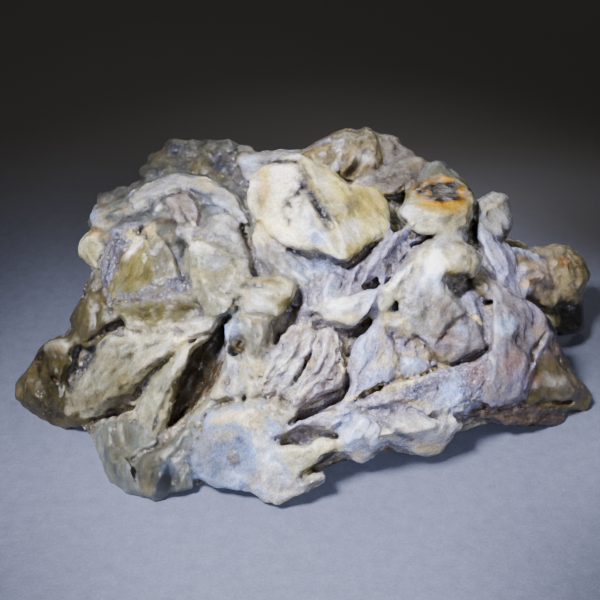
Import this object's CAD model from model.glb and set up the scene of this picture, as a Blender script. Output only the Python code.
"""The looks of the viewing stone: the same forms as the CAD, worked finer, and its surface.

The stone is blocked out as in the CAD, from forms laid out on the reference photograph.
It is joined into one skin, cut with the deep crevices, scored with fine layers and grit,
and coloured form by form. A place on the photograph is (x, y) in its 600 pixels, and
lift is how far it stands towards the viewer from an even swelling surface, in the same
pixels. Everything else is in metres, with +Z up.
"""

import math
import random

import bmesh
import bpy
import numpy as np
from mathutils import Matrix, Vector, kdtree
from mathutils.bvhtree import BVHTree

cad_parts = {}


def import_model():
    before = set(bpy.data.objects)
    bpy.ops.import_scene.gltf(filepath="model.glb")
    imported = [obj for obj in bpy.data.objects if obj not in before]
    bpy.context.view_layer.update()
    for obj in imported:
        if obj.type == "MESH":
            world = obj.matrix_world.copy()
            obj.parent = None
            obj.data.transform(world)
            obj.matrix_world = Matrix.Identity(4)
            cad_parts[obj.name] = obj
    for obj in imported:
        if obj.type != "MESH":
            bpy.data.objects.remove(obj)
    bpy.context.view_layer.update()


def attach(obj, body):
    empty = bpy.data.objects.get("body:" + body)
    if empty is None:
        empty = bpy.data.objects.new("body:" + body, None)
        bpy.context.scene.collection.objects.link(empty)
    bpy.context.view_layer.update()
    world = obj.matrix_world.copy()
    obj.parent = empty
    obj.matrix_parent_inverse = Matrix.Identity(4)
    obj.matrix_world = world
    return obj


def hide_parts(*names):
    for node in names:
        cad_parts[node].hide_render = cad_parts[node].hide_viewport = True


# The view that the front was laid out in. One pixel is this long at the stone's middle.
PIXEL = 0.0003
PHOTO_MIDDLE = 300
VIEW_DISTANCE = 0.32
VIEW_ELEVATION = math.radians(30)
LOOKED_AT = Vector((0.0, -0.009, 0.045))

# The even surface that every lift is counted from, in pixels: a swelling, steeper above.
SWELL_MIDDLE = (310, 360)
SWELL_NEAREST = 60
SWELL_SIDEWAYS = 0.00184
SWELL_UPWARDS = 0.0022
SWELL_DOWNWARDS = 0.0007

# The solid core is the hull of these corners: places behind the front, with their lift,
# and then points of the back and the foot.
CORE_FRONT = [
    (90, 300, -24), (45, 390, -18), (72, 410, -18), (122, 470, 12), (158, 478, 10),
    (205, 470, -14), (265, 480, -14), (325, 455, -24), (370, 440, -34), (440, 430, -30),
    (545, 410, -26), (565, 390, -22), (530, 345, -22), (500, 250, -36), (112, 228, -34),
    (150, 205, -34), (235, 195, -36), (300, 175, -40), (345, 168, -56), (405, 178, -50),
    (460, 205, -50), (130, 260, -18), (190, 260, -14), (250, 250, -14), (310, 250, -14),
    (370, 240, -18), (430, 260, -16), (480, 290, -18), (110, 350, -14), (190, 330, -12),
    (250, 320, -10), (310, 310, -10), (370, 310, -10), (430, 310, -10), (500, 340, -14),
    (90, 380, -14), (160, 390, -12), (220, 380, -12), (280, 370, -10), (340, 370, -10),
    (400, 370, -10), (460, 370, -12), (520, 380, -14), (150, 440, -4), (210, 430, -10),
    (260, 425, -12), (320, 420, -16), (390, 415, -16), (450, 400, -14)]
CORE_BACK = [
    (-0.068, 0.024, -0.004), (-0.050, 0.044, -0.004), (-0.005, 0.050, -0.004),
    (0.045, 0.046, -0.004), (0.066, 0.026, -0.004), (-0.062, 0.044, 0.030),
    (-0.047, 0.056, 0.050), (0.000, 0.060, 0.052), (0.044, 0.052, 0.044),
    (0.066, 0.040, 0.028), (-0.034, 0.050, 0.063), (0.014, 0.040, 0.070),
    (0.044, 0.036, 0.058), (-0.058, -0.020, -0.004), (-0.030, -0.038, -0.004),
    (0.002, -0.030, -0.004), (0.040, -0.007, -0.004), (0.070, 0.004, -0.004)]
# Lumps of the back, in metres: middle and half sizes.
BACK_LUMPS = [
    ((0.062, 0.040, 0.020), (0.026, 0.018, 0.018)),
    ((-0.040, 0.050, 0.030), (0.026, 0.016, 0.026))]

# The outline of the stone on the photograph, which no blade of the back stands out of.
OUTLINE = [
    (14, 396), (22, 372), (38, 350), (56, 338), (72, 330), (72, 316), (82, 300), (98, 288),
    (97, 274), (86, 262), (79, 246), (86, 230), (88, 214), (98, 203), (120, 196), (146, 186),
    (156, 166), (170, 146), (190, 142), (243, 146), (300, 146), (320, 138), (346, 126),
    (366, 124), (380, 134), (398, 136), (413, 150), (436, 158), (452, 167), (474, 194),
    (496, 192), (512, 208), (510, 236), (530, 246), (566, 246), (590, 268), (588, 326),
    (562, 338), (594, 392), (570, 424), (440, 460), (300, 506), (130, 500), (20, 420)]
TUCK_STEPS = 7
TUCK_SHARE = 0.07
TUCK_TOWARDS = Vector((0.0, 0.005, 0.015))

SLAB_DEPTH = 50
SLAB_FLARE = 1.04
# The rings of a form's front, from its middle out: size, and share of the rise.
SLAB_RINGS = [(0.2, 1.0), (0.62, 0.85), (0.9, 0.25)]
SLAB_EDGE_DROP = 4

# Looks: main and second colour as seen, how strongly it is layered, its grit, its polish.
LOOKS = {
    "ivory": ((240, 236, 222), (214, 210, 200), 0.15, 0.0, 0.7),
    "cream": ((214, 213, 196), (190, 189, 174), 0.25, 0.05, 0.6),
    "yellow": ((214, 210, 176), (194, 187, 142), 0.2, 0.0, 0.75),
    "honey": ((176, 173, 146), (158, 155, 126), 0.15, 0.0, 0.75),
    "beige": ((190, 188, 175), (170, 167, 155), 0.3, 0.1, 0.55),
    "olive": ((142, 137, 108), (112, 106, 80), 0.15, 0.0, 0.1),
    "dark olive": ((46, 43, 32), (34, 32, 24), 0.1, 0.0, 0.0),
    "brown": ((162, 156, 138), (136, 130, 112), 0.3, 0.1, 0.2),
    "umber": ((122, 113, 106), (102, 93, 86), 0.5, 0.1, 0.45),
    "taupe": ((170, 165, 159), (150, 145, 140), 0.4, 0.3, 0.35),
    "heap": ((146, 146, 140), (96, 96, 94), 0.2, 0.2, 0.1),
    "lavender": ((196, 194, 208), (172, 168, 180), 0.5, 0.3, 0.6),
    "grit": ((186, 184, 196), (158, 156, 168), 0.4, 0.8, 0.5),
    "fold": ((216, 212, 212), (190, 183, 180), 0.7, 0.1, 0.6),
    "pale blue": ((200, 205, 218), (184, 186, 196), 0.25, 0.05, 0.7),
    "crust": ((186, 182, 172), (128, 124, 118), 0.6, 0.8, 0.3),
    "milk": ((212, 211, 212), (194, 194, 204), 0.08, 0.0, 0.9),
    "opal": ((184, 192, 212), (172, 180, 196), 0.1, 0.0, 0.8),
    "rose": ((184, 180, 186), (162, 157, 162), 0.2, 0.1, 0.7),
    "pink": ((200, 193, 190), (180, 172, 170), 0.3, 0.1, 0.7),
    "silver": ((202, 201, 200), (180, 179, 180), 0.25, 0.1, 0.65),
    "grey": ((152, 155, 150), (132, 135, 130), 0.15, 0.0, 0.0),
}

# Flat and crowned forms: lift of the rim, rise of the middle, look, the way its layers
# run in degrees up from the right, and the rim's corners. A corner's third number lifts
# that corner alone.
SLABS = {
    # The great block at the top.
    "great left face": (30, 8, "ivory", -62, [
        (250, 178), (262, 168), (276, 162, -2), (297, 160, 4), (313, 190, 8), (335, 225, 8),
        (350, 260, 4), (320, 252), (291, 250), (270, 236), (252, 212, -6)]),
    "great right face": (30, 3, "yellow", -62, [
        (297, 160, 4), (330, 172, -4), (350, 188, -6), (376, 190, -16), (388, 205, -18),
        (390, 225, -14), (372, 240, -6), (350, 260, 4), (335, 225, 10), (313, 190, 8)]),
    "under face": (8, 5, "silver", -50, [
        (252, 215), (272, 238), (290, 250), (303, 262), (314, 287), (296, 281), (270, 271),
        (257, 256), (250, 238)]),
    "under right": (4, 3, "pale blue", 50, [
        (288, 250), (318, 256), (346, 264), (338, 280), (322, 291), (312, 287), (300, 262)]),
    # The peak and the ridge behind it.
    "peak": (-25, 8, "brown", 80, [
        (302, 152), (320, 141), (335, 132), (347, 128), (358, 131), (366, 126), (375, 134),
        (381, 150), (383, 166), (378, 173), (362, 178), (350, 180), (335, 174), (318, 166),
        (305, 160)]),
    "peak right": (-38, 5, "taupe", -70, [
        (375, 134), (395, 138), (402, 146), (413, 152), (413, 159), (400, 164), (385, 167),
        (380, 150)]),
    "rear slab": (-10, 4, "taupe", 25, [
        (356, 183), (375, 173), (400, 161), (420, 158), (426, 164), (416, 180), (405, 190),
        (396, 195), (372, 192)]),
    "rear ridge": (-30, 6, "silver", 10, [
        (235, 158), (250, 153), (276, 150), (300, 150), (306, 160), (290, 168), (262, 172),
        (245, 182), (238, 172)]),
    # The block with the level, rust-ringed top.
    "ring top": (0, 0, "honey", 0, [
        (412, 188, 20), (425, 180, 12), (441, 176, 9), (456, 179, 10), (468, 189, 14),
        (474, 202, 24), (468, 208, 32), (440, 212, 36), (418, 208, 34), (408, 200, 28)]),
    "ring front": (0, 3, "cream", 30, [
        (408, 202, 30), (440, 210, 38), (468, 208, 34), (474, 218, 28), (468, 228, 24),
        (455, 234, 24), (438, 232, 26), (420, 231, 26), (408, 222, 26), (402, 212, 24)]),
    "ring rear": (-15, 4, "grey", 60, [
        (408, 184), (424, 166), (437, 160), (450, 169), (464, 184), (474, 198), (468, 200),
        (455, 186), (440, 180), (420, 186)]),
    # The rear right block and arm.
    "rear block": (-10, 6, "silver", -60, [
        (478, 202), (495, 195), (507, 197), (512, 212), (511, 226), (504, 236), (494, 240),
        (485, 234), (480, 222)]),
    "rear slope": (-5, 3, "pale blue", -60, [
        (478, 218), (490, 238, -8), (505, 246, -28), (528, 249, -48), (536, 262, -52),
        (532, 284, -44), (522, 300, -28), (500, 285, -6), (486, 262), (478, 240)]),
    "rear arm": (-86, 10, "brown", -5, [
        (505, 252, 40), (525, 250, 24), (545, 247, 8), (566, 248), (582, 260), (589, 275),
        (584, 290), (583, 302), (566, 304), (550, 308, 8), (535, 302, 24), (518, 290, 40),
        (508, 272, 44)]),
    "dark foot": (-100, 4, "dark olive", 0, [
        (548, 304), (583, 302), (585, 326), (579, 333), (562, 335), (551, 330)]),
    # The right flank.
    "right wall": (12, 8, "rose", -65, [
        (480, 278), (497, 284), (522, 301), (545, 318, -10), (553, 334, -10), (545, 350, -6),
        (531, 376), (526, 396), (492, 408), (480, 398), (484, 370), (490, 346), (492, 312)]),
    "right tip": (0, 8, "olive", -40, [
        (530, 352), (545, 346), (562, 366), (580, 380), (588, 394), (583, 408), (560, 412),
        (530, 405), (520, 398), (530, 376)]),
    "right shingle": (-8, 3, "umber", -60, [
        (545, 330), (554, 336), (562, 356), (574, 372), (562, 376), (548, 362), (538, 346)]),
    "right base": (-8, 4, "umber", 0, [
        (466, 416), (490, 405), (530, 403), (562, 410), (569, 420), (560, 426), (540, 428),
        (515, 427), (490, 421)]),
    # The smooth arm under the knob, and the plate below it.
    "arm": (24, 8, "silver", 60, [
        (432, 240), (452, 232), (466, 236), (462, 246), (448, 262), (447, 284), (460, 304),
        (464, 315), (450, 327), (437, 341), (420, 331), (404, 322), (396, 306), (410, 282),
        (424, 260)]),
    "neck": (10, 4, "brown", -60, [
        (478, 268), (486, 276), (493, 288), (490, 300), (478, 292), (470, 282)]),
    "lower plate": (16, 4, "rose", 20, [
        (380, 318), (400, 320), (420, 331), (437, 342), (450, 328), (463, 316), (476, 322),
        (483, 345), (470, 350), (456, 357), (445, 360), (430, 353), (410, 337), (396, 330)]),
    "gritty channel": (-2, 2, "grit", -70, [
        (474, 284), (490, 300), (494, 322), (486, 346), (476, 330), (466, 310), (462, 296)]),
    # The white knuckle that the ribs run down to, and the blocks below it.
    "knuckle": (26, 7, "milk", 20, [
        (318, 306), (330, 298), (350, 296), (368, 288), (380, 290), (380, 302), (371, 318),
        (358, 329), (344, 326), (326, 320)]),
    "grit patch": (2, 3, "grit", 60, [
        (298, 283), (318, 286), (322, 300), (318, 320), (302, 324), (292, 310), (296, 296)]),
    "wedge": (16, 4, "lavender", 70, [
        (378, 314), (388, 322), (394, 345), (401, 374), (386, 388), (366, 396), (348, 400),
        (341, 402), (350, 386), (352, 356), (356, 344), (370, 334)]),
    "plate right": (8, 3, "lavender", 70, [
        (392, 326), (406, 336), (426, 350), (430, 364), (416, 375), (401, 380), (396, 350)]),
    "under lip": (2, 2, "lavender", 30, [
        (425, 352), (445, 362), (430, 370), (418, 374)]),
    # The long band across the lower right, and the lobes under it.
    "band": (14, 7, "grit", 22, [
        (344, 405), (370, 395), (400, 381), (430, 371), (460, 362), (490, 353), (492, 374),
        (482, 398), (466, 412), (440, 412), (415, 402), (385, 401), (360, 411)]),
    "lower lobe": (16, 10, "silver", 20, [
        (384, 427), (400, 414), (430, 409), (455, 417), (463, 425, -8), (452, 440, -16),
        (441, 452, -26), (426, 457, -30), (402, 451, -26), (386, 441, -14), (377, 432)]),
    "small lobe": (20, 8, "pale blue", 60, [
        (344, 427), (360, 415), (378, 424), (386, 440, -12), (376, 455, -30),
        (361, 463, -40), (350, 459, -34), (341, 445, -12)]),
    "connector": (8, 3, "grit", 40, [
        (338, 408), (352, 402), (372, 404), (396, 412), (384, 426), (366, 418), (348, 428),
        (332, 432), (325, 420)]),
    # The two fans of folded layers in the middle.
    "left fan": (14, 5, "fold", 55, [
        (250, 376), (262, 360), (275, 345), (290, 328), (310, 322), (316, 340), (312, 362),
        (300, 384), (282, 398), (262, 398), (250, 388)]),
    "right fan": (16, 6, "fold", 60, [
        (318, 332), (332, 328), (343, 340), (346, 358), (345, 378), (336, 392), (316, 402),
        (298, 405), (290, 400), (302, 386), (314, 362)]),
    # The column between the dark cleft and the fans.
    "horn": (22, 5, "cream", -15, [
        (236, 291), (250, 279), (275, 276), (299, 283), (290, 300), (276, 318), (268, 312),
        (245, 312)]),
    "column": (14, 5, "beige", 80, [
        (243, 312), (270, 312), (276, 334), (272, 350), (262, 362), (252, 352), (246, 334)]),
    "column foot": (12, 5, "cream", 75, [
        (248, 346), (262, 358), (258, 378), (262, 396), (246, 400), (238, 384), (238, 366)]),
    "finger": (12, 4, "pale blue", 75, [
        (234, 303), (244, 316), (247, 332), (232, 336), (227, 356), (221, 346), (225, 320)]),
    "cleft lip": (8, 3, "beige", 40, [
        (186, 425), (205, 404), (236, 399), (240, 406), (214, 413), (200, 424), (192, 432)]),
    # The pale foot, the lobes and the hollows along the front edge.
    "pale foot": (14, 4, "opal", 40, [
        (196, 422), (214, 407), (240, 404), (262, 405), (272, 424), (278, 446), (282, 468),
        (266, 484), (240, 485), (215, 486), (199, 478), (193, 456), (194, 434)]),
    "cream cap": (12, 3, "cream", 60, [
        (238, 404), (262, 404), (266, 420), (262, 436), (250, 432), (240, 420)]),
    "under lobe": (10, 5, "beige", 70, [
        (256, 402), (280, 398), (302, 408), (301, 420), (286, 430), (276, 440), (262, 437),
        (255, 420)]),
    "ledge": (14, 4, "lavender", 30, [
        (262, 438), (290, 427), (318, 413), (344, 402), (352, 408), (340, 424), (330, 431),
        (304, 427), (286, 434)]),
    "front lobe": (16, 8, "cream", 35, [
        (272, 446), (300, 448), (320, 440), (338, 439), (341, 450), (326, 461), (302, 475),
        (286, 481), (274, 470)]),
    "front foot": (14, 7, "silver", 60, [
        (262, 456), (276, 450), (286, 476), (302, 478), (322, 472), (325, 481), (302, 493),
        (276, 503), (258, 499), (244, 486), (250, 470)]),
    "left foot": (4, 6, "grey", -80, [
        (94, 433), (106, 422), (122, 418), (142, 424, 6), (156, 440, 14), (140, 452, 18),
        (126, 462, 24), (122, 480, 38), (136, 496, 50), (122, 494, 48), (108, 476, 36),
        (98, 456, 18)]),
    "middle foot": (8, 6, "grey", 60, [
        (124, 463, 22), (150, 450, 16), (178, 438, 8), (196, 420), (204, 416), (200, 440, 2),
        (193, 460, 5), (196, 488, 8), (170, 494, 24), (150, 501, 44), (134, 496, 44),
        (122, 478, 34)]),
    # The two leaning blades on the left, and the dark wing beyond them.
    "outer blade": (12, 8, "cream", 42, [
        (186, 333), (165, 335), (131, 339), (110, 338), (98, 346), (93, 360), (80, 376),
        (66, 395), (68, 410), (86, 418), (102, 412), (122, 400), (142, 384), (156, 367),
        (172, 356), (188, 343)]),
    "inner blade": (8, 6, "cream", 50, [
        (207, 334), (195, 341), (180, 352), (164, 366), (149, 379), (141, 396), (133, 412),
        (142, 424), (152, 440), (160, 430), (172, 412), (188, 388), (202, 362), (211, 345)]),
    "shoulder": (2, 6, "olive", 60, [
        (102, 290), (82, 301), (73, 320), (75, 340), (84, 350), (94, 347), (106, 334),
        (113, 322), (104, 306)]),
    "wing": (2, 10, "olive", 50, [
        (78, 332), (56, 340), (39, 352), (30, 370), (18, 385), (18, 400), (30, 415),
        (50, 427), (76, 427), (94, 418), (72, 402), (66, 382), (74, 360)]),
    # The facets of the upper left dome.
    "dome": (-8, 8, "grey", 30, [
        (88, 222), (98, 206), (120, 200), (150, 185), (180, 175), (212, 179), (236, 198),
        (248, 226), (252, 262), (246, 290), (228, 318), (190, 330), (140, 330), (108, 306),
        (100, 280), (104, 250)]),
    "left knob": (-14, 6, "cream", -30, [
        (80, 244), (86, 232), (96, 228), (112, 231), (113, 250), (103, 264), (97, 271),
        (88, 262), (81, 252)]),
    "left brow": (-6, 5, "beige", 10, [
        (88, 216), (95, 205), (112, 206), (136, 206), (142, 214), (122, 222), (102, 229),
        (90, 226)]),
    "honey facet": (16, 2, "honey", 60, [
        (141, 238), (149, 244), (153, 262), (152, 286), (138, 299), (108, 301), (105, 288),
        (120, 270), (129, 252)]),
    "grey band": (12, 2, "grit", 65, [
        (112, 229), (140, 222), (136, 240), (126, 257), (107, 286), (100, 284), (103, 262),
        (109, 240)]),
    "cream facet": (14, 2, "beige", 75, [
        (150, 230), (165, 240), (176, 262), (181, 284), (153, 292), (155, 262), (148, 243)]),
    "pink blade": (16, 3, "pink", -40, [
        (166, 198), (186, 194), (197, 206), (201, 224), (186, 220), (172, 212)]),
    "pink foot": (14, 3, "silver", -30, [
        (172, 214), (201, 229), (196, 240), (188, 246), (179, 238)]),
    "shard": (16, 3, "silver", -60, [
        (226, 214), (236, 226), (249, 262), (232, 258), (205, 243), (199, 236)]),
    "great shard": (24, 4, "cream", -35, [
        (189, 247), (197, 243), (246, 262), (251, 280), (241, 296), (228, 319), (206, 316),
        (190, 300), (187, 264)]),
    "honey ledge": (14, 3, "honey", 10, [
        (106, 306), (150, 304), (190, 299), (206, 306), (196, 318), (152, 326), (122, 324)]),
    "white ledge": (16, 3, "ivory", 5, [
        (110, 318), (150, 328), (196, 318), (226, 318), (214, 334), (186, 336), (150, 340),
        (136, 343), (124, 332)]),
}

# Round forms: place, lift of the middle, half sizes across, up and in depth, and look.
KNOBS = {
    "knob": ((463, 262), 24, (20, 18, 22), "beige"),
    "great wing": ((256, 200), 16, (9, 22, 20), "ivory"),
    "pale bead": ((408, 364), 4, (13, 11, 12), "opal"),
    "band swell": ((455, 393), 8, (20, 17, 16), "pale blue"),
    "knuckle a": ((216, 378), 6, (9, 12, 12), "beige"),
    "knuckle b": ((230, 368), 6, (10, 12, 12), "silver"),
    "knuckle c": ((234, 388), 6, (11, 12, 12), "silver"),
    "knuckle d": ((218, 395), 6, (12, 9, 12), "beige"),
    "wing top": ((60, 346), 4, (15, 9, 12), "beige"),
    "wing edge": ((34, 394), 2, (14, 14, 12), "olive"),
    "far left a": ((105, 201), -60, (11, 9, 12), "heap"),
    "far left b": ((122, 194), -64, (11, 8, 12), "heap"),
    "in the finger's hollow": ((241, 345), 0, (9, 11, 8), "olive"),
    "below the arm rib": ((387, 318), 6, (9, 9, 8), "rose"),
    "far left c": ((138, 190), -64, (10, 8, 12), "heap"),
}

# The lumpy heap behind the dome: places of its lumps, their lift and half size.
HEAP = [
    (152, 174), (161, 160), (175, 148), (170, 168), (190, 152), (186, 168), (208, 150),
    (203, 166), (226, 148), (221, 166), (243, 154), (238, 172), (228, 184), (246, 186)]
HEAP_LIFT = -70
HEAP_SIZE = (12, 10, 24)

# Ribs: lift of the crest, half width, look, and the points that the crest passes.
STRANDS = {
    "rib a": (18, 8, "lavender", [(350, 256), (340, 272), (331, 288), (326, 303)]),
    "rib b": (18, 7, "lavender", [(368, 252), (356, 270), (348, 286), (340, 300)]),
    "rib c": (16, 6, "lavender", [(392, 232), (376, 252), (362, 272), (352, 294)]),
    "rib d": (14, 6, "lavender", [(410, 222), (394, 240), (378, 260), (366, 280)]),
    "rib e": (4, 4, "umber", [(424, 232), (408, 243), (396, 260), (382, 276)]),
    "rib f": (12, 7, "grit", [(335, 262), (325, 278), (318, 296), (312, 312)]),
    "rib g": (16, 5, "lavender", [(380, 285), (375, 303), (366, 320)]),
    "arm rib a": (22, 6, "cream", [(450, 232), (426, 250), (406, 274), (390, 296), (382, 312)]),
    "arm rib b": (16, 5, "lavender", [(432, 238), (414, 255), (398, 276), (386, 292)]),
    "left fold a": (19, 6, "fold", [(300, 326), (288, 344), (273, 356), (259, 367)]),
    "left fold b": (20, 6, "fold", [
        (308, 328), (302, 350), (288, 368), (268, 380), (254, 386)]),
    "left fold c": (19, 6, "fold", [(318, 332), (312, 356), (300, 376), (284, 392), (266, 396)]),
    "right fold a": (22, 6, "fold", [
        (334, 332), (334, 352), (326, 374), (308, 394), (292, 402)]),
    "right fold b": (20, 5, "fold", [(343, 344), (343, 366), (334, 386), (314, 400)]),
    "right fold c": (22, 4, "fold", [(324, 336), (322, 356), (312, 378)]),
    "dome rim": (8, 9, "silver", [
        (130, 203), (152, 190), (178, 182), (206, 186), (228, 204), (240, 226)]),
    "bedding a": (18, 6, "grit", [(106, 297), (140, 297), (176, 287), (198, 281)]),
    "bedding b": (18, 5, "beige", [(106, 305), (140, 303), (180, 295), (204, 291)]),
    "arm rib c": (12, 6, "lavender", [(434, 246), (418, 260), (404, 276), (392, 292)]),
    "arm rib d": (9, 6, "grit", [(414, 236), (400, 250), (388, 268), (378, 284)]),
    "below the band": (13, 6, "lavender", [(376, 402), (396, 404), (414, 406), (436, 408)]),
    "peak rib a": (-16, 6, "silver", [(341, 142), (337, 170)]),
    "peak rib b": (-16, 5, "brown", [(354, 145), (348, 175)]),
    "peak rib c": (-20, 6, "brown", [(374, 146), (372, 170)]),
}
STRAND_SIDES = 10
STRAND_DEPTH = 2.2

# Rough blades over the back, the ends and the top, which the photograph doesn't show.
BACK_SEED = 7
CORE_BLADES = 110
LUMP_BLADES = 44
BACK_LONGEST = 0.017
BACK_SHORTEST = 0.008
BACK_LOWEST = 0.003
BACK_FACING = 0.1
BACK_GRAIN = 0.7
BACK_LOOKS = ["beige", "grey", "cream", "silver", "olive", "lavender", "grit", "rose"]

# Crevices: lift of the floor, and the points of its line, each with its half width.
CREVICES = {
    "beside the great block": (-30, [
        (230, 208, 1), (233, 216, 1.6), (238, 228, 2.6), (243, 240, 3), (248, 252, 3), (251, 260, 1)]),
    "under the great block": (-10, [
        (288, 250, 1), (303, 255, 2), (318, 259, 3), (335, 262, 3), (350, 264, 4),
        (363, 256, 6), (372, 246, 5), (382, 238, 1)]),
    "between ribs, dark": (-16, [
        (428, 234, 1), (418, 241, 1.6), (406, 246, 1.8), (398, 255, 1.4), (391, 264, 1.8),
        (382, 274, 1.8), (372, 278, 1.4), (362, 284, 1)]),
    "beside rib e": (-12, [
        (418, 247, 0.8), (406, 258, 1.2), (399, 268, 1.4), (390, 278, 1.4), (382, 282, 0.8)]),
    "rib a and b": (4, [(352, 262, 1), (346, 275, 2), (339, 290, 1)]),
    "rib b and c": (2, [(374, 250, 1), (362, 268, 2), (353, 282, 2), (347, 292, 1)]),
    "at the under right": (-10, [(297, 282, 1), (304, 286, 2), (314, 288, 1)]),
    "beside the horn": (-30, [
        (299, 290, 1), (296, 302, 3), (289, 316, 5), (282, 327, 6), (277, 338, 4), (273, 346, 1)]),
    "under the knuckle": (-14, [
        (322, 322, 1), (334, 328, 3), (344, 333, 5), (353, 335, 4.5), (362, 326, 3),
        (372, 314, 2), (378, 304, 1)]),
    "above the band": (-14, [
        (350, 402, 1), (362, 395, 3), (378, 388, 3), (392, 381, 2), (402, 379, 2),
        (420, 373, 3), (430, 368, 3), (445, 364, 3), (460, 359, 4), (472, 354, 5),
        (482, 350, 4), (492, 349, 1)]),
    "edge of the lower plate": (2, [
        (402, 327, 1), (412, 336, 2), (422, 345, 3), (432, 353, 3), (442, 359, 3),
        (452, 361, 2), (464, 357, 2)]),
    "crack below the arm": (10, [(383, 329, 1), (391, 338, 1.2), (399, 338, 1)]),
    "edge of the arm": (10, [(464, 314, 1), (455, 322, 1.4), (446, 331, 1.4), (438, 342, 1)]),
    "behind the ring block": (-34, [
        (471, 204, 1), (475, 216, 3), (472, 230, 4), (475, 241, 3), (480, 250, 1)]),
    "cleft in the peak": (-50, [
        (368, 149, 1), (361, 160, 2), (353, 170, 4), (349, 179, 4), (354, 186, 2)]),
    "second cleft in the peak": (-46, [(372, 158, 1), (367, 168, 2), (364, 177, 1)]),
    "under the rear slab": (-26, [
        (396, 195, 1), (400, 190, 2.5), (408, 183, 2), (417, 174, 1)]),
    "edge of the right wall": (-14, [
        (549, 324, 1), (541, 340, 2), (536, 350, 2), (530, 362, 2), (527, 376, 1)]),
    "top of the right wall": (-10, [
        (497, 283, 1), (510, 291, 1.5), (522, 299, 1.5), (533, 303, 3), (540, 304, 1)]),
    "over the right base": (-18, [
        (474, 411, 1), (490, 408, 1.6), (520, 407, 2), (545, 405, 2), (565, 404, 3), (580, 404, 1)]),
    "over the lower lobe": (2, [(408, 410, 1), (424, 413, 2), (440, 417, 2.4), (450, 419, 1)]),
    "under the small lobe": (-20, [(358, 464, 1), (364, 460, 3), (376, 453, 4), (386, 446, 1)]),
    "front pocket, upper": (-24, [
        (281, 431, 1), (295, 424, 3), (308, 415, 6), (320, 407, 7), (332, 399, 7),
        (341, 391, 4), (346, 384, 1)]),
    "front pocket, middle": (-20, [
        (268, 437, 1), (283, 438, 3), (297, 438, 4.5), (310, 436, 4), (322, 435, 3.5), (334, 437, 1)]),
    "front pocket, lower": (-26, [
        (298, 475, 1), (312, 471, 4), (326, 463, 7), (338, 457, 8), (347, 464, 5)]),
    "under the left fan": (-6, [(263, 398, 1), (271, 396, 3), (281, 394, 1)]),
    "under the knuckles": (-8, [
        (234, 402, 1), (224, 404, 4), (214, 408, 2), (207, 415, 2), (202, 428, 2), (197, 442, 1.6),
        (193, 458, 1)]),
    "the great cleft": (-56, [
        (228, 312, 1), (223, 324, 4), (216, 342, 9), (208, 360, 13), (200, 378, 14),
        (192, 394, 13), (182, 408, 10), (173, 420, 6), (165, 430, 1)]),
    "foot of the great cleft": (-4, [
        (182, 430, 1), (174, 438, 2), (160, 444, 2), (145, 449, 2), (134, 456, 2), (124, 462, 1)]),
    "between the blades": (-14, [
        (194, 337, 0.8), (182, 349, 1.2), (168, 359, 1.4), (154, 369, 1.8), (143, 380, 2),
        (135, 391, 2.4), (128, 399, 1)]),
    "under the outer blade": (-30, [
        (88, 424, 1), (98, 417, 3), (110, 411, 6), (122, 407, 7), (133, 404, 4), (138, 399, 1)]),
    "under the shoulder": (-28, [
        (78, 349, 1), (88, 344, 2), (98, 337, 3), (109, 329, 5), (118, 324, 5), (124, 330, 2),
        (136, 332, 1)]),
    "under the white ledge": (-8, [
        (150, 332, 0.8), (162, 330, 1.3), (175, 330, 1.3), (186, 332, 0.8)]),
    "right of the white ledge": (-8, [(194, 336, 1), (204, 334, 2), (216, 332, 3)]),
    "furrow of the wing": (-6, [
        (82, 350, 1), (77, 358, 1.2), (70, 370, 1.4), (65, 381, 1.4), (61, 392, 1)]),
    "cleft in the dome": (-4, [
        (163, 199, 1), (166, 212, 3), (169, 224, 5), (171, 238, 3), (173, 252, 1)]),
    "under the honey facet": (0, [(98, 300, 1), (112, 303, 1.5), (130, 302, 1.5), (142, 298, 1)]),
    "left edge of the dome": (-28, [
        (108, 238, 0.8), (103, 250, 1.2), (100, 264, 1.2), (98, 278, 1.4), (98, 290, 1)]),
    "under the brow": (-20, [(88, 229, 1), (98, 230, 2), (112, 228, 1)]),
    "between the fans": (-16, [
        (316, 334, 1), (311, 350, 2.2), (307, 364, 2.4), (300, 378, 2.4), (292, 392, 1)]),
    "right of the wedge": (2, [(388, 326, 0.8), (394, 340, 1), (397, 352, 1), (400, 376, 0.8)]),
    "left of the wedge": (-6, [(346, 342, 1), (347, 356, 1.6), (347, 372, 1.6), (344, 388, 1)]),
    "beside the column foot": (2, [(246, 362, 1), (252, 378, 2), (262, 394, 1)]),
    "beside the finger": (-6, [(233, 300, 1), (229, 316, 2), (222, 334, 2)]),
    "beside the horn, left": (4, [(244, 300, 1), (246, 312, 1.4), (248, 326, 1)]),
    "around the bead": (-2, [(396, 358, 1), (396, 370, 1.4), (404, 377, 1)]),
}
HOLLOW_FILL = 0.5
CREVICE_STEEPNESS = 2
CREVICE_DEPTH = 0.7
CREVICE_WIDTH = 0.85

# Pits: place, half sizes, floor of the middle.
PITS = {
    "under the knob": ((462, 283), (11, 7), -14),
    "in the finger": ((241, 344), (5, 7), 0),
    "beside the neck": ((488, 302), (6, 4), -20),
    "by the rear block": ((506, 235), (4, 5), -40),
    "in the grit": ((313, 314), (4, 3), -14),
    "in the left fan": ((270, 378), (2.5, 2.5), 8),
    "in the wing": ((41, 359), (6, 4), -6),
    "in the wing's middle": ((56, 378), (8, 5), -2),
    "in the arm's end": ((568, 270), (5, 4), -84),
    "in the tip": ((560, 404), (10, 3), -18),
}

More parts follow.
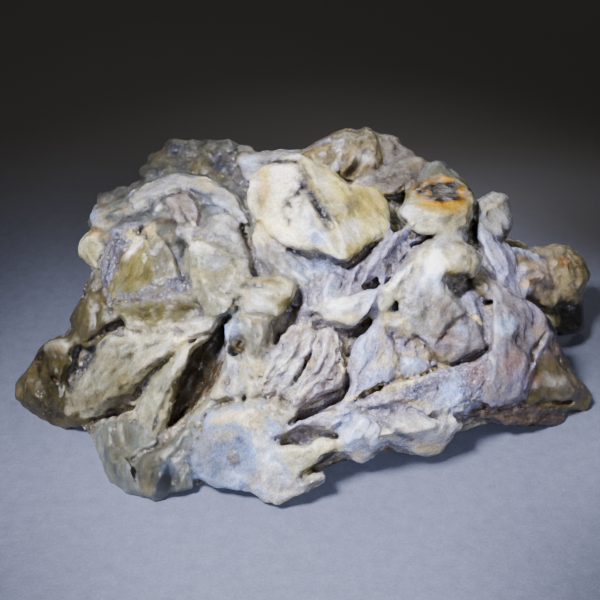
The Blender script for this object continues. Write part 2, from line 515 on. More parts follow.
# Ridges and furrows on the forms, by region: rise of the sharp crest, or depth of the
# furrow below zero, and the points of its line, each with its half width.
FOLDS = {
    "flanks": [
        (-14, [(208, 350, 8), (196, 374, 14), (183, 396, 12), (170, 414, 6)]),
        (-10, [(176, 357, 5), (154, 375, 8), (139, 391, 8), (116, 405, 9), (96, 417, 6)]),
        (-14, [(297, 290, 5), (288, 314, 12), (278, 336, 10)]),
        (-9, [(292, 253, 4), (318, 261, 8), (349, 268, 8), (372, 247, 8)]),
        (-9, [(327, 327, 5), (345, 334, 10), (361, 328, 6)]),
        (-8, [(408, 341, 5), (430, 359, 9), (447, 364, 9), (472, 356, 6)]),
        (-10, [(346, 386, 6), (331, 400, 10), (304, 414, 8)]),
        (-7, [(262, 400, 5), (276, 400, 7), (292, 404, 5)]),
        (-8, [(452, 280, 5), (466, 284, 8), (476, 282, 5)]),
        (-8, [(126, 334, 5), (150, 333, 8), (182, 333, 6)]),
        (-8, [(92, 342, 5), (106, 333, 8), (118, 324, 8)]),
        (-10, [(473, 206, 5), (474, 224, 7), (474, 240, 5)]),
        (-8, [(252, 282, 5), (242, 298, 8), (229, 320, 6)]),
        (-10, [(300, 478, 5), (320, 468, 9), (340, 456, 8)]),
        (-7, [(408, 411, 5), (430, 416, 7), (450, 419, 5)]),
        (-10, [(366, 152, 5), (356, 166, 8), (350, 180, 6)]),
    ],
    "great block": [
        (5, [(299, 161, 3), (310, 176, 6), (326, 202, 7), (339, 224, 7), (347, 248, 5), (350, 262, 2)]),
        (-4, [(302, 180, 2), (314, 200, 5), (326, 216, 5), (335, 227, 2)]),
        (-3, [(340, 180, 2), (343, 195, 4), (350, 210, 4), (358, 222, 2)]),
        (3, [(352, 194, 4), (366, 204, 9), (380, 216, 5)]),
        (-4, [(258, 184, 2), (261, 200, 3), (257, 216, 2)]),
        (-2, [(283, 208, 2), (292, 200, 3), (300, 190, 3), (302, 182, 2)]),
        (-2, [(296, 226, 2), (304, 238, 3), (306, 246, 2)]),
        (3, [(290, 246, 3), (310, 248, 5), (330, 251, 5), (346, 258, 3)]),
        (-3, [(283, 253, 2), (291, 264, 3), (300, 277, 2)]),
        (4, [(256, 236, 4), (264, 254, 7), (278, 270, 4)]),
        (-3, [(302, 260, 2), (309, 272, 3), (315, 287, 2)]),
    ],
    "ribs": [
        (7, [(341, 260, 5), (333, 276, 7), (326, 290, 7), (322, 301, 4)]),
        (-8, [(351, 258, 2), (347, 274, 3.5), (342, 289, 3.5), (336, 300, 2)]),
        (7, [(358, 265, 4), (353, 279, 6), (347, 294, 4)]),
        (-8, [(367, 260, 2), (361, 275, 3.5), (355, 289, 3.5), (350, 301, 2)]),
        (7, [(397, 236, 4), (382, 252, 6), (371, 268, 6), (362, 284, 4)]),
        (-4, [(394, 246, 2), (380, 262, 3), (368, 278, 2)]),
        (6, [(383, 285, 4), (377, 299, 7), (368, 317, 4)]),
        (-5, [(368, 290, 2), (363, 303, 3.5), (365, 317, 2)]),
        (6, [(412, 222, 4), (398, 236, 5), (386, 250, 4)]),
        (-4, [(404, 222, 2), (390, 236, 3), (378, 250, 2)]),
        (-4, [(318, 258, 2), (317, 272, 3), (313, 286, 2)]),
        (4, [(303, 288, 3), (303, 304, 5), (300, 320, 3)]),
        (-4, [(310, 290, 2), (311, 306, 3), (308, 322, 2)]),
        (4, [(326, 306, 4), (344, 309, 8), (366, 301, 5)]),
    ],
    "fans": [
        (-5, [(277, 330, 2), (271, 347, 4), (263, 364, 4), (258, 380, 2)]),
        (-5, [(291, 328, 2), (284, 348, 4), (275, 366, 4), (268, 380, 2)]),
        (-5, [(303, 328, 2), (298, 350, 4), (290, 368, 4), (277, 390, 2)]),
        (3.5, [(284, 332, 3), (277, 350, 5), (268, 370, 5), (262, 386, 3)]),
        (3.5, [(297, 330, 3), (291, 350, 5), (282, 370, 5), (270, 392, 3)]),
        (3.5, [(310, 332, 3), (305, 350, 4), (297, 368, 5), (285, 390, 3)]),
        (-5, [(322, 334, 2), (320, 351, 4), (312, 366, 4), (304, 382, 2)]),
        (-5, [(333, 334, 2), (331, 355, 4), (322, 372, 4), (305, 391, 2)]),
        (-2, [(341, 346, 2), (339, 370, 3.5), (327, 386, 3.5), (305, 399, 2)]),
        (3.5, [(328, 332, 3), (326, 352, 5), (318, 370, 5), (304, 388, 3)]),
        (3.5, [(338, 338, 3), (336, 360, 4), (325, 380, 4), (306, 396, 3)]),
        (-2, [(313, 360, 2), (320, 352, 3), (326, 346, 2)]),
        (-2, [(312, 384, 2), (322, 380, 3), (330, 374, 2)]),
    ],
    "column": [
        (-2.1, [(252, 316, 2), (253, 332, 3), (248, 348, 2)]),
        (2.8, [(262, 314, 4), (264, 330, 6), (260, 346, 4)]),
        (-2.8, [(246, 350, 2), (247, 372, 3.5), (253, 392, 2)]),
        (-2.1, [(255, 352, 2), (255, 370, 3), (258, 384, 2)]),
        (3.5, [(240, 292, 3), (256, 292, 6), (272, 296, 5)]),
        (-2.8, [(246, 286, 2), (260, 285, 2.5), (274, 284, 2)]),
        (2.8, [(276, 278, 3), (288, 282, 5), (297, 284, 3)]),
        (-4.2, [(223, 362, 2), (219, 378, 3.5), (214, 394, 2)]),
        (-4.2, [(232, 360, 2), (228, 378, 3.5), (225, 396, 2)]),
        (-3.5, [(240, 368, 2), (237, 384, 3), (236, 398, 2)]),
        (3.5, [(236, 306, 3), (238, 322, 5), (228, 344, 4)]),
        (-2.1, [(205, 406, 2), (220, 402, 3), (234, 400, 2)]),
    ],
    "arm": [
        (3, [(446, 238, 6), (437, 256, 12), (433, 276, 12), (438, 296, 6)]),
        (-3.75, [(430, 246, 2), (415, 268, 3.5), (399, 288, 3.5), (388, 302, 2)]),
        (-2.25, [(424, 268, 2), (414, 288, 3), (404, 304, 2)]),
        (-3, [(427, 300, 2), (424, 316, 3), (427, 333, 2)]),
        (-2.25, [(390, 309, 2), (400, 300, 3), (412, 307, 3), (426, 302, 2)]),
        (3.75, [(438, 240, 3), (420, 258, 5), (402, 278, 5), (384, 294, 3)]),
        (-2.25, [(440, 256, 2), (450, 252, 2.5), (462, 254, 2)]),
        (-2.25, [(440, 318, 2), (450, 306, 3), (456, 292, 2)]),
        (3, [(404, 322, 3), (420, 334, 5), (440, 344, 5), (462, 342, 3)]),
        (-2.25, [(446, 334, 2), (458, 334, 3), (474, 330, 2)]),
        (-3, [(462, 300, 2), (468, 316, 3), (472, 336, 2)]),
        (-3, [(478, 296, 2), (482, 314, 3), (482, 336, 2)]),
        (3, [(470, 290, 3), (476, 310, 4), (478, 332, 3)]),
    ],
    "wedge": [
        (1.5, [(381, 318, 4), (388, 340, 9), (389, 362, 9), (378, 382, 5)]),
        (-1.2, [(374, 334, 2), (373, 350, 3.5), (367, 366, 3.5), (352, 384, 2)]),
        (1.2, [(362, 342, 3), (362, 360, 5), (354, 380, 4)]),
        (-1.8, [(358, 390, 2), (366, 380, 3), (380, 376, 2)]),
        (-1.8, [(404, 340, 2), (410, 352, 3), (424, 358, 2)]),
        (-1.8, [(402, 328, 2), (394, 336, 2.5), (386, 326, 2)]),
    ],
    "band": [
        (5, [(346, 402, 3), (370, 391, 5), (400, 380, 5), (430, 370, 5), (462, 360, 5), (490, 351, 3)]),
        (-4, [(372, 398, 2), (398, 390, 3), (426, 380, 3), (446, 370, 2)]),
        (-3, [(392, 400, 2), (412, 394, 3), (430, 384, 2)]),
        (-3, [(438, 374, 2), (437, 388, 3), (430, 402, 2)]),
        (-3, [(464, 400, 2), (474, 392, 3), (484, 382, 2)]),
        (-3, [(470, 372, 2), (470, 384, 3), (462, 394, 2)]),
        (5, [(408, 408, 3), (432, 410, 5), (456, 412, 4)]),
        (-4, [(384, 424, 2), (398, 434, 3.5), (414, 441, 2)]),
        (4, [(396, 420, 4), (414, 430, 7), (434, 436, 5)]),
        (-3, [(420, 414, 2), (436, 424, 3), (450, 430, 2)]),
        (-4, [(372, 424, 2), (367, 438, 3), (371, 452, 2)]),
        (4, [(354, 428, 3), (352, 442, 6), (358, 458, 3)]),
        (-3, [(342, 416, 2), (358, 410, 3), (376, 412, 2)]),
        (4, [(334, 424, 3), (352, 416, 5), (372, 418, 4)]),
    ],
    "right flank": [
        (2.5, [(492, 284, 3), (502, 300, 5), (514, 320, 4)]),
        (-2.5, [(500, 288, 2), (512, 306, 3.5), (528, 322, 2)]),
        (2, [(516, 300, 3), (532, 310, 5), (546, 320, 3)]),
        (-1.5, [(521, 330, 2), (517, 350, 3), (519, 372, 2)]),
        (2, [(524, 350, 3), (524, 370, 5), (519, 392, 3)]),
        (-2, [(500, 340, 2), (497, 366, 3), (503, 394, 2)]),
        (-1.5, [(512, 344, 2), (510, 368, 3), (515, 392, 2)]),
        (2, [(492, 320, 4), (490, 350, 6), (492, 384, 4)]),
        (2, [(544, 378, 4), (554, 382, 8), (566, 386, 4)]),
        (-2, [(530, 394, 2), (546, 390, 3.5), (562, 394, 2)]),
        (-1.5, [(560, 372, 2), (572, 382, 3), (582, 394, 2)]),
        (-2, [(472, 419, 2), (500, 414, 3), (530, 417, 3), (562, 416, 2)]),
        (1.5, [(476, 414, 3), (504, 409, 4), (540, 411, 3)]),
        (-1.5, [(548, 336, 2), (560, 352, 3), (570, 368, 2)]),
        (2, [(556, 338, 3), (564, 356, 4), (578, 376, 3)]),
    ],
    "rear right": [
        (5, [(508, 199, 3), (496, 208, 5), (483, 217, 3)]),
        (-4, [(492, 226, 2), (494, 234, 3), (500, 242, 2)]),
        (-4, [(484, 240, 2), (494, 258, 3), (506, 280, 2)]),
        (3, [(500, 250, 4), (512, 268, 6), (524, 288, 4)]),
        (-4, [(520, 262, 2), (545, 257, 3), (566, 254, 2)]),
        (5, [(522, 270, 4), (544, 264, 6), (566, 262, 4)]),
        (-4, [(532, 284, 2), (552, 287, 3), (576, 284, 2)]),
        (-3, [(526, 274, 2), (546, 276, 3), (560, 276, 2)]),
        (4, [(572, 256, 3), (582, 268, 5), (582, 284, 4)]),
    ],
    "peak": [
        (4, [(342, 138, 3), (339, 154, 6), (337, 172, 3)]),
        (-4, [(331, 138, 2), (329, 154, 3), (323, 168, 2)]),
        (-4, [(349, 140, 2), (346, 158, 3), (343, 174, 2)]),
        (4, [(356, 136, 3), (354, 152, 5), (350, 168, 3)]),
        (-4, [(378, 150, 2), (382, 162, 3), (378, 172, 2)]),
        (-5, [(396, 140, 2), (398, 148, 3), (398, 156, 2)]),
        (4, [(310, 154, 3), (324, 146, 5), (338, 140, 3)]),
        (-3, [(362, 186, 2), (382, 180, 3), (404, 168, 2)]),
        (3, [(370, 180, 3), (390, 172, 5), (410, 164, 3)]),
    ],
    "dome": [
        (4, [(166, 199, 3), (183, 214, 5), (202, 227, 3)]),
        (-4, [(192, 208, 2), (196, 216, 3), (200, 226, 2)]),
        (4, [(141, 239, 3), (150, 254, 4), (153, 288, 3)]),
        (5, [(140, 240, 3), (128, 256, 4), (108, 290, 3)]),
        (-4, [(113, 232, 2), (106, 254, 3), (104, 282, 2)]),
        (-3, [(126, 230, 2), (119, 250, 3), (109, 276, 2)]),
        (-4, [(178, 258, 2), (179, 272, 3), (182, 284, 2)]),
        (4, [(190, 248, 3), (200, 246, 4), (220, 252, 4), (246, 263, 3)]),
        (4, [(194, 252, 3), (198, 276, 7), (210, 300, 4)]),
        (-3, [(190, 284, 2), (210, 286, 3), (238, 298, 2)]),
        (4, [(184, 190, 3), (206, 194, 5), (224, 206, 5), (236, 224, 3)]),
        (-5, [(194, 204, 2), (212, 205, 3), (226, 215, 2)]),
        (-4, [(198, 234, 2), (204, 220, 3), (214, 209, 2)]),
        (4, [(226, 216, 3), (216, 230, 5), (206, 242, 3)]),
        (4, [(110, 212, 3), (130, 209, 5), (152, 212, 3)]),
        (-5, [(106, 222, 2), (126, 219, 3), (150, 216, 2)]),
        (-4, [(142, 202, 2), (152, 196, 3), (166, 192, 2)]),
        (4, [(84, 241, 3), (96, 237, 5), (110, 241, 3)]),
        (-3, [(90, 246, 2), (94, 256, 3), (100, 266, 2)]),
        (-4, [(150, 288, 2), (168, 284, 3), (188, 280, 2)]),
        (-4, [(146, 300, 2), (166, 292, 3), (190, 288, 2)]),
        (-4, [(108, 304, 2), (124, 312, 3), (148, 318, 2)]),
        (5, [(114, 316, 3), (136, 322, 4), (160, 322, 3)]),
        (-3, [(138, 316, 2), (166, 312, 3), (200, 308, 2)]),
        (-4, [(132, 328, 2), (140, 334, 3), (142, 342, 2)]),
        (4, [(166, 324, 3), (190, 322, 6), (214, 320, 4)]),
    ],
    "blades": [
        (6, [(190, 336, 4), (166, 346, 9), (144, 362, 10), (122, 384, 10), (96, 402, 7), (80, 410, 3)]),
        (-3, [(164, 338, 2), (138, 350, 3), (112, 372, 3), (90, 396, 2)]),
        (-3, [(132, 344, 2), (110, 362, 3), (86, 390, 2)]),
        (-3, [(150, 350, 2), (126, 372, 3), (100, 392, 2)]),
        (-6, [(100, 344, 2), (88, 362, 3.5), (72, 388, 2)]),
        (-3, [(108, 342, 2), (94, 364, 3), (78, 390, 2)]),
        (6, [(202, 339, 4), (182, 358, 8), (166, 382, 9), (156, 406, 8), (150, 428, 4)]),
        (-3, [(192, 350, 2), (174, 370, 3), (160, 396, 2)]),
        (-3, [(150, 384, 2), (146, 400, 3), (142, 416, 2)]),
        (-3, [(184, 366, 2), (172, 388, 3), (160, 414, 2)]),
    ],
    "wing": [
        (-5, [(72, 348, 2), (67, 370, 3.5), (63, 394, 2)]),
        (-5, [(44, 354, 2), (38, 374, 3.5), (46, 396, 2)]),
        (-5, [(50, 374, 2), (62, 386, 3.5), (60, 410, 2)]),
        (4, [(54, 344, 4), (68, 352, 6), (74, 364, 3)]),
        (4, [(32, 366, 3), (28, 384, 6), (40, 408, 4)]),
        (4, [(52, 360, 3), (54, 376, 5), (48, 392, 3)]),
        (-4, [(24, 396, 2), (42, 406, 3), (60, 420, 2)]),
        (-4, [(98, 298, 2), (95, 322, 3.5), (88, 346, 2)]),
        (3, [(90, 296, 3), (86, 318, 6), (90, 340, 3)]),
        (-4, [(82, 306, 2), (79, 330, 3), (82, 346, 2)]),
    ],
    "feet": [
        (-3, [(100, 430, 2), (106, 454, 3.5), (119, 482, 2)]),
        (-3, [(112, 426, 2), (114, 448, 3.5), (122, 472, 2)]),
        (-2.4, [(124, 422, 2), (126, 442, 3), (130, 458, 2)]),
        (3, [(106, 424, 3), (109, 448, 5), (120, 476, 3)]),
        (3, [(118, 422, 3), (120, 444, 5), (126, 464, 3)]),
        (-1.8, [(134, 424, 2), (136, 440, 3), (140, 450, 2)]),
        (3, [(182, 438, 4), (174, 462, 8), (180, 490, 4)]),
        (-3, [(190, 428, 2), (185, 455, 3.5), (190, 486, 2)]),
        (-3, [(151, 458, 2), (148, 478, 3.5), (154, 496, 2)]),
        (-2.4, [(166, 450, 2), (162, 468, 3), (168, 486, 2)]),
        (2.4, [(140, 462, 3), (136, 480, 6), (144, 496, 3)]),
        (-1.8, [(225, 434, 2), (236, 446, 3), (231, 462, 2)]),
        (-1.8, [(204, 440, 2), (216, 450, 3), (228, 454, 2)]),
        (2.4, [(244, 424, 5), (254, 446, 10), (254, 470, 6)]),
        (-2.4, [(272, 448, 2), (274, 466, 3.5), (280, 482, 2)]),
        (-2.4, [(256, 466, 2), (262, 484, 3), (270, 499, 2)]),
        (2.4, [(280, 450, 4), (306, 449, 7), (334, 443, 4)]),
        (3, [(286, 482, 3), (302, 486, 4), (320, 479, 3)]),
        (-2.4, [(280, 490, 2), (296, 484, 3), (312, 480, 2)]),
        (-3, [(262, 440, 2), (290, 432, 3), (318, 419, 3), (344, 407, 2)]),
        (2.4, [(268, 436, 3), (294, 427, 4), (322, 414, 3)]),
        (-2.4, [(262, 404, 2), (258, 420, 3), (264, 436, 2)]),
        (2.4, [(272, 402, 4), (276, 416, 7), (270, 432, 4)]),
        (-1.8, [(284, 408, 2), (284, 418, 3), (278, 428, 2)]),
        (-2.4, [(236, 408, 2), (240, 420, 3), (252, 432, 2)]),
    ],
}

# Paints of the stains and of the crevice walls, as seen.
PAINTS = {
    "white": (252, 250, 244), "chalk": (232, 230, 226), "cream": (224, 216, 186),
    "yellow": (226, 219, 166), "honey": (182, 174, 128), "amber": (204, 176, 112),
    "rust": (146, 118, 80), "tan": (178, 166, 134), "olive": (126, 120, 80),
    "moss": (92, 88, 54), "brown": (112, 94, 70), "dark": (52, 42, 32),
    "ash": (132, 128, 126), "slate": (98, 102, 124), "ink": (50, 54, 74),
    "sky": (186, 200, 230), "ice": (208, 218, 236), "lilac": (176, 172, 190),
    "mauve": (150, 138, 144), "rose": (186, 164, 156), "orange": (206, 174, 0),
    "soot": (58, 48, 40), "smoke": (104, 94, 90), "pitch": (38, 34, 28),
    "bronze": (136, 120, 78), "gold": (198, 178, 70), "cave": (74, 58, 40),
}
STAIN_DEPTH = 12
SOFT_PAINTS = ("sky", "ice", "lilac", "rose", "olive", "honey", "tan", "amber", "mauve", "chalk")
# Stains: place, half sizes, tilt in degrees up from the right, paint and strength.
STAINS = [
    # The heap.
    (162, 158, 8, 7, 0, "olive", 0.6), (178, 150, 9, 6, 0, "slate", 0.5), (172, 168, 8, 6, 0, "dark", 0.5),
    (192, 156, 7, 7, 0, "ash", 0.6), (200, 166, 8, 5, 0, "honey", 0.35), (212, 152, 8, 6, 0, "olive", 0.5),
    (222, 166, 8, 7, 0, "slate", 0.6), (236, 156, 8, 6, 0, "chalk", 0.4), (240, 172, 7, 8, 0, "ash", 0.5),
    (228, 184, 6, 6, 0, "ink", 0.5), (186, 172, 6, 5, 0, "ink", 0.4), (158, 176, 8, 5, 0, "lilac", 0.4),
    # The great block.
    (283, 180, 17, 15, 0, "white", 0.7), (258, 205, 6, 20, 0, "honey", 0.5),
    (266, 176, 4, 9, 0, "yellow", 0.8), (309, 186, 16, 4, -60, "tan", 0.8),
    (323, 212, 14, 4, -58, "slate", 0.7), (254, 186, 5, 12, 80, "white", 0.8),
    (262, 172, 6, 8, 60, "yellow", 0.8), (264, 188, 5, 8, 70, "amber", 0.8),
    (262, 208, 7, 14, 0, "honey", 0.5), (262, 232, 12, 14, 0, "cream", 0.7),
    (276, 226, 6, 14, 70, "yellow", 0.6), (303, 184, 4, 5, 0, "slate", 0.8),
    (297, 197, 3, 7, -30, "slate", 0.7), (289, 205, 4, 4, 0, "slate", 0.6),
    (284, 212, 3, 3, 0, "brown", 0.6), (289, 219, 3, 3, 0, "rust", 0.6),
    (314, 200, 14, 4, -60, "slate", 0.7), (324, 216, 14, 4, -58, "ash", 0.7),
    (300, 172, 12, 3, -62, "ash", 0.5), (318, 236, 9, 8, 0, "sky", 0.9),
    (306, 224, 8, 10, 0, "ice", 0.6), (334, 238, 12, 4, -62, "honey", 0.6),
    (322, 250, 24, 3, -12, "honey", 0.8), (335, 185, 15, 7, -60, "yellow", 0.8),
    (320, 178, 22, 4, -60, "chalk", 0.6), (366, 204, 16, 12, -30, "honey", 0.9),
    (380, 200, 5, 12, 0, "tan", 0.6), (349, 207, 4, 9, -40, "mauve", 0.7),
    (350, 232, 12, 12, 0, "chalk", 0.6), (352, 256, 10, 4, 40, "honey", 0.8),
    (268, 262, 10, 16, 20, "olive", 0.35), (300, 270, 8, 12, 20, "ice", 0.8),
    (322, 266, 12, 6, 0, "sky", 0.6), (280, 162, 18, 2.5, 4, "ink", 0.9),
    # The peak and what stands behind.
    (318, 152, 10, 6, 20, "tan", 0.6), (338, 163, 6, 10, 80, "ash", 0.3),
    (352, 150, 8, 6, 0, "tan", 0.5), (360, 138, 10, 5, 0, "olive", 0.5),
    (354, 172, 5, 10, 60, "moss", 0.9), (374, 165, 8, 8, 0, "brown", 0.8),
    (365, 158, 4, 8, 70, "chalk", 0.6), (399, 148, 4, 5, 0, "dark", 0.7),
    (250, 162, 6, 5, 0, "ice", 0.9), (268, 152, 20, 3, 0, "rust", 0.25),
    (390, 172, 20, 8, 25, "ash", 0.4), (415, 162, 8, 4, 25, "tan", 0.5),
    # The ringed block.
    (441, 206, 28, 8, -6, "gold", 0.8), (441, 192, 27.5, 14, -6, "orange", 1.0),
    (442, 190, 28, 12.5, -5, "soot", 1.0), (440, 194, 10, 4, 0, "smoke", 0.9),
    (452, 183, 9, 3, -10, "smoke", 0.7), (448, 178, 6, 2, 0, "orange", 0.9),
    (427, 192, 3, 2, 0, "orange", 0.9), (462, 192, 3, 5, 0, "orange", 0.8),
    (424, 188, 6, 5, 0, "dark", 0.8), (432, 180, 8, 2, 20, "amber", 0.6), (438, 166, 8, 6, 0, "olive", 0.4),
    (415, 214, 9, 7, 0, "chalk", 0.5), (404, 221, 5, 4, 0, "slate", 0.9),
    (400, 208, 10, 8, 0, "ice", 0.4), (455, 222, 14, 8, 0, "tan", 0.4),
    # The rear right.
    (492, 205, 10, 7, 20, "cream", 0.5), (500, 222, 7, 10, 0, "chalk", 0.4),
    (495, 245, 6, 8, 0, "lilac", 0.5), (510, 268, 16, 26, 30, "lilac", 0.6),
    (556, 272, 34, 18, -8, "mauve", 0.4),
    (526, 284, 6, 4, 0, "amber", 0.6), (564, 262, 6, 5, 0, "rust", 0.6),
    (540, 262, 14, 5, 10, "tan", 0.5), (545, 257, 18, 3, 8, "slate", 0.6),
    (540, 296, 14, 6, 0, "mauve", 0.7), (582, 262, 5, 10, -60, "moss", 0.5),
    # The knob, the arm and the plate.
    (470, 268, 10, 6, 20, "honey", 0.4), (455, 252, 10, 7, 0, "cream", 0.5),
    (435, 262, 12, 12, 60, "white", 0.8), (430, 280, 9, 14, 70, "ice", 0.5),
    (452, 272, 4, 8, -60, "honey", 0.8), (418, 292, 6, 8, 60, "lilac", 0.6),
    (410, 270, 4, 16, -20, "tan", 0.4), (440, 310, 14, 12, 0, "rose", 0.3),
    (425, 240, 14, 3, 40, "olive", 0.7), (398, 322, 12, 5, 0, "chalk", 0.7),
    (448, 336, 12, 6, 0, "rose", 0.4), (462, 330, 6, 5, 0, "ice", 0.5),
    (416, 342, 22, 2.5, -38, "honey", 0.8), (440, 357, 10, 3, 0, "honey", 0.7),
    (480, 352, 10, 3, 0, "olive", 0.7),
    # Ribs, knuckle and what lies below.
    (340, 303, 16, 6, 0, "white", 0.95), (345, 318, 18, 5, 0, "cream", 0.7),
    (332, 290, 7, 8, 60, "ice", 0.7), (372, 295, 6, 8, 0, "sky", 0.6),
    (368, 322, 8, 6, 50, "olive", 0.8), (352, 332, 10, 4, 0, "brown", 0.7),
    (364, 352, 8, 14, 0, "ice", 0.6), (370, 380, 16, 8, 30, "sky", 0.5),
    (390, 360, 6, 16, -80, "cream", 0.5), (410, 364, 9, 7, 0, "ice", 0.9),
    (404, 345, 8, 8, 0, "lilac", 0.5), (386, 322, 4, 8, 0, "cream", 0.6),
    # The band and its lobes.
    (452, 392, 12, 10, 0, "sky", 0.9), (450, 402, 12, 6, 0, "ice", 0.8),
    (420, 388, 24, 5, 20, "slate", 0.35), (400, 385, 26, 3, 20, "cream", 0.7),
    (478, 372, 12, 12, 0, "rose", 0.5), (410, 402, 16, 4, -10, "cream", 0.5),
    (430, 430, 22, 10, -10, "chalk", 0.4), (430, 448, 20, 6, 0, "cream", 0.5),
    (398, 432, 12, 3, -30, "slate", 0.6), (352, 440, 8, 10, 0, "ice", 0.6),
    (366, 440, 5, 5, 0, "mauve", 0.6), (355, 456, 10, 5, 0, "cream", 0.6),
    (374, 454, 10, 3, 30, "olive", 0.8), (345, 420, 10, 8, 40, "sky", 0.5),
    # The right flank.
    (505, 325, 10, 9, 0, "ice", 0.8), (540, 318, 4, 16, 40, "lilac", 0.6),
    (520, 345, 14, 10, -60, "ash", 0.4), (512, 366, 12, 14, 0, "rose", 0.6),
    (522, 378, 5, 12, 70, "lilac", 0.7), (535, 379, 6, 8, 70, "amber", 0.35),
    (553, 381, 11, 6, -10, "chalk", 0.4), (578, 390, 9, 12, 0, "moss", 0.5),
    (540, 396, 16, 5, -10, "moss", 0.6), (530, 408, 16, 3, 0, "slate", 0.5),
    (540, 330, 6, 8, 0, "tan", 0.5), (556, 352, 6, 14, -50, "mauve", 0.6),
    # The fans and the column.
    (264, 372, 8, 14, 50, "cream", 0.6), (290, 365, 8, 16, 55, "white", 0.4),
    (270, 378, 2.5, 2.5, 0, "rust", 0.9), (325, 355, 8, 18, 70, "chalk", 0.5),
    (300, 400, 12, 3, 10, "mauve", 0.5), (308, 330, 10, 4, 0, "ash", 0.4),
    (262, 296, 16, 6, -5, "yellow", 0.45), (268, 281, 24, 2.5, -12, "rust", 0.4),
    (258, 287, 16, 2, -4, "slate", 0.6), (286, 305, 8, 16, 60, "olive", 0.9),
    (256, 320, 5, 4, 0, "amber", 0.5), (248, 305, 4, 14, 0, "cream", 0.6),
    (262, 342, 8, 12, 0, "olive", 0.25), (232, 325, 6, 12, 80, "sky", 0.4),
    (236, 346, 7, 8, 0, "olive", 0.7), (222, 380, 4, 2, 0, "amber", 0.5),
    (222, 404, 10, 3, 8, "honey", 0.8),
    # The front edge.
    (568, 320, 22, 20, 0, "pitch", 1.0), (568, 306, 18, 6, 0, "pitch", 0.8),
    
     (235, 459, 7, 9, 60, "tan", 0.6),
    (248, 444, 1.6, 1.6, 0, "ink", 0.7), (205, 446, 7, 22, 0, "tan", 0.45),
    (262, 440, 8, 14, 0, "chalk", 0.5), (272, 458, 9, 9, 30, "ice", 0.7),
    (284, 474, 6, 12, 0, "sky", 0.4), (268, 432, 8, 5, 20, "sky", 0.5),
    (226, 436, 12, 7, 20, "cream", 0.45), (247, 455, 9, 14, 0, "sky", 0.5),
    (216, 470, 8, 14, 0, "ash", 0.4), (236, 478, 16, 6, 0, "ice", 0.5), (225, 418, 18, 6, 10, "cream", 0.8),
    (250, 420, 10, 10, 0, "cream", 0.6), (280, 413, 2, 2, 0, "slate", 0.9),
    (264, 462, 6, 16, 0, "chalk", 0.5), (330, 446, 14, 5, 20, "cream", 0.7),
    (312, 468, 14, 3, 20, "honey", 0.7), (300, 430, 22, 3, 20, "brown", 0.4),
    (332, 408, 8, 4, 60, "honey", 0.7), (300, 484, 18, 6, 10, "ash", 0.5),
    (256, 478, 4, 5, 0, "rose", 0.6), (262, 494, 8, 5, 0, "ice", 0.4),
    # The left feet, the blades and the wing.
    (168, 467, 9, 8, 0, "sky", 0.3), (148, 488, 6, 6, 0, "honey", 0.5),
    (115, 470, 3, 20, 15, "dark", 0.35), (105, 452, 2.5, 18, 10, "dark", 0.3),
    (150, 426, 12, 12, 0, "ash", 0.25), (185, 455, 6, 20, 0, "moss", 0.35),
    (150, 362, 22, 5, 38, "chalk", 0.7), (115, 372, 10, 14, 40, "honey", 0.4),
    (92, 400, 16, 10, 0, "mauve", 0.4), (118, 345, 16, 4, 0, "ash", 0.4),
    (130, 392, 22, 3, 38, "brown", 0.5), (175, 350, 14, 4, 38, "cream", 0.6),
    (192, 372, 6, 24, -30, "honey", 0.7), (185, 358, 10, 6, 40, "chalk", 0.5),
    (165, 400, 8, 14, 0, "ash", 0.4), (40, 358, 8, 6, 0, "dark", 0.6),
    (60, 350, 12, 5, 20, "tan", 0.6), (55, 378, 10, 8, 0, "dark", 0.4),
    (58, 415, 12, 6, 0, "dark", 0.35), (20, 392, 4, 4, 0, "tan", 0.7),
    (105, 398, 34, 9, 36, "olive", 0.45), (140, 374, 30, 7, 36, "honey", 0.5),
    (118, 352, 20, 8, 20, "olive", 0.3), (172, 402, 22, 7, 62, "honey", 0.5),
    (160, 366, 16, 5, 40, "olive", 0.4), (85, 405, 14, 9, 20, "olive", 0.5),
    (60, 395, 18, 16, 0, "olive", 0.5), (36, 378, 10, 14, 0, "tan", 0.35),
    (120, 440, 10, 20, 0, "olive", 0.35), (150, 478, 16, 10, 0, "olive", 0.35),
    (90, 312, 12, 14, 0, "honey", 0.4),
    (288, 204, 5, 2.5, -30, "ink", 0.8), (303, 200, 2.5, 7, -30, "ink", 0.7),
    (292, 190, 4, 3, 0, "slate", 0.7), (300, 212, 3, 5, 0, "slate", 0.6),
    (286, 217, 3, 4, 0, "brown", 0.6), (318, 233, 5, 6, 0, "slate", 0.45),
    (328, 214, 4, 8, 30, "ink", 0.6), (313, 222, 6, 3, -40, "slate", 0.5),
    (296, 201, 4, 4, 0, "white", 0.9), (301, 224, 6, 5, 0, "white", 0.8),
    (289, 173, 6, 5, 0, "white", 0.9), (281, 193, 5, 5, 0, "white", 0.8),
    (565, 385, 30, 18, 0, "ash", 0.5), (350, 160, 26, 20, 0, "tan", 0.25),
    (400, 182, 18, 10, 20, "ash", 0.3),
    (346, 319, 16, 4, 20, "yellow", 0.35), (346, 306, 20, 7, 20, "chalk", 0.4),
    (275, 282, 20, 4, -4, "honey", 0.6), (254, 305, 14, 11, 0, "chalk", 0.6),
    (286, 303, 8, 14, 15, "honey", 0.7), (336, 362, 7, 24, 10, "cream", 0.4),
    (306, 340, 8, 12, 30, "chalk", 0.4), (88, 318, 14, 22, 0, "ash", 0.3), (262, 296, 14, 9, 0, "chalk", 0.4),
    (325, 365, 20, 30, 0, "lilac", 0.35), (284, 368, 20, 26, 0, "ice", 0.25),
    (241, 344, 6, 8, 0, "moss", 0.7), (150, 470, 26, 24, 0, "ash", 0.25),
    # The dome.
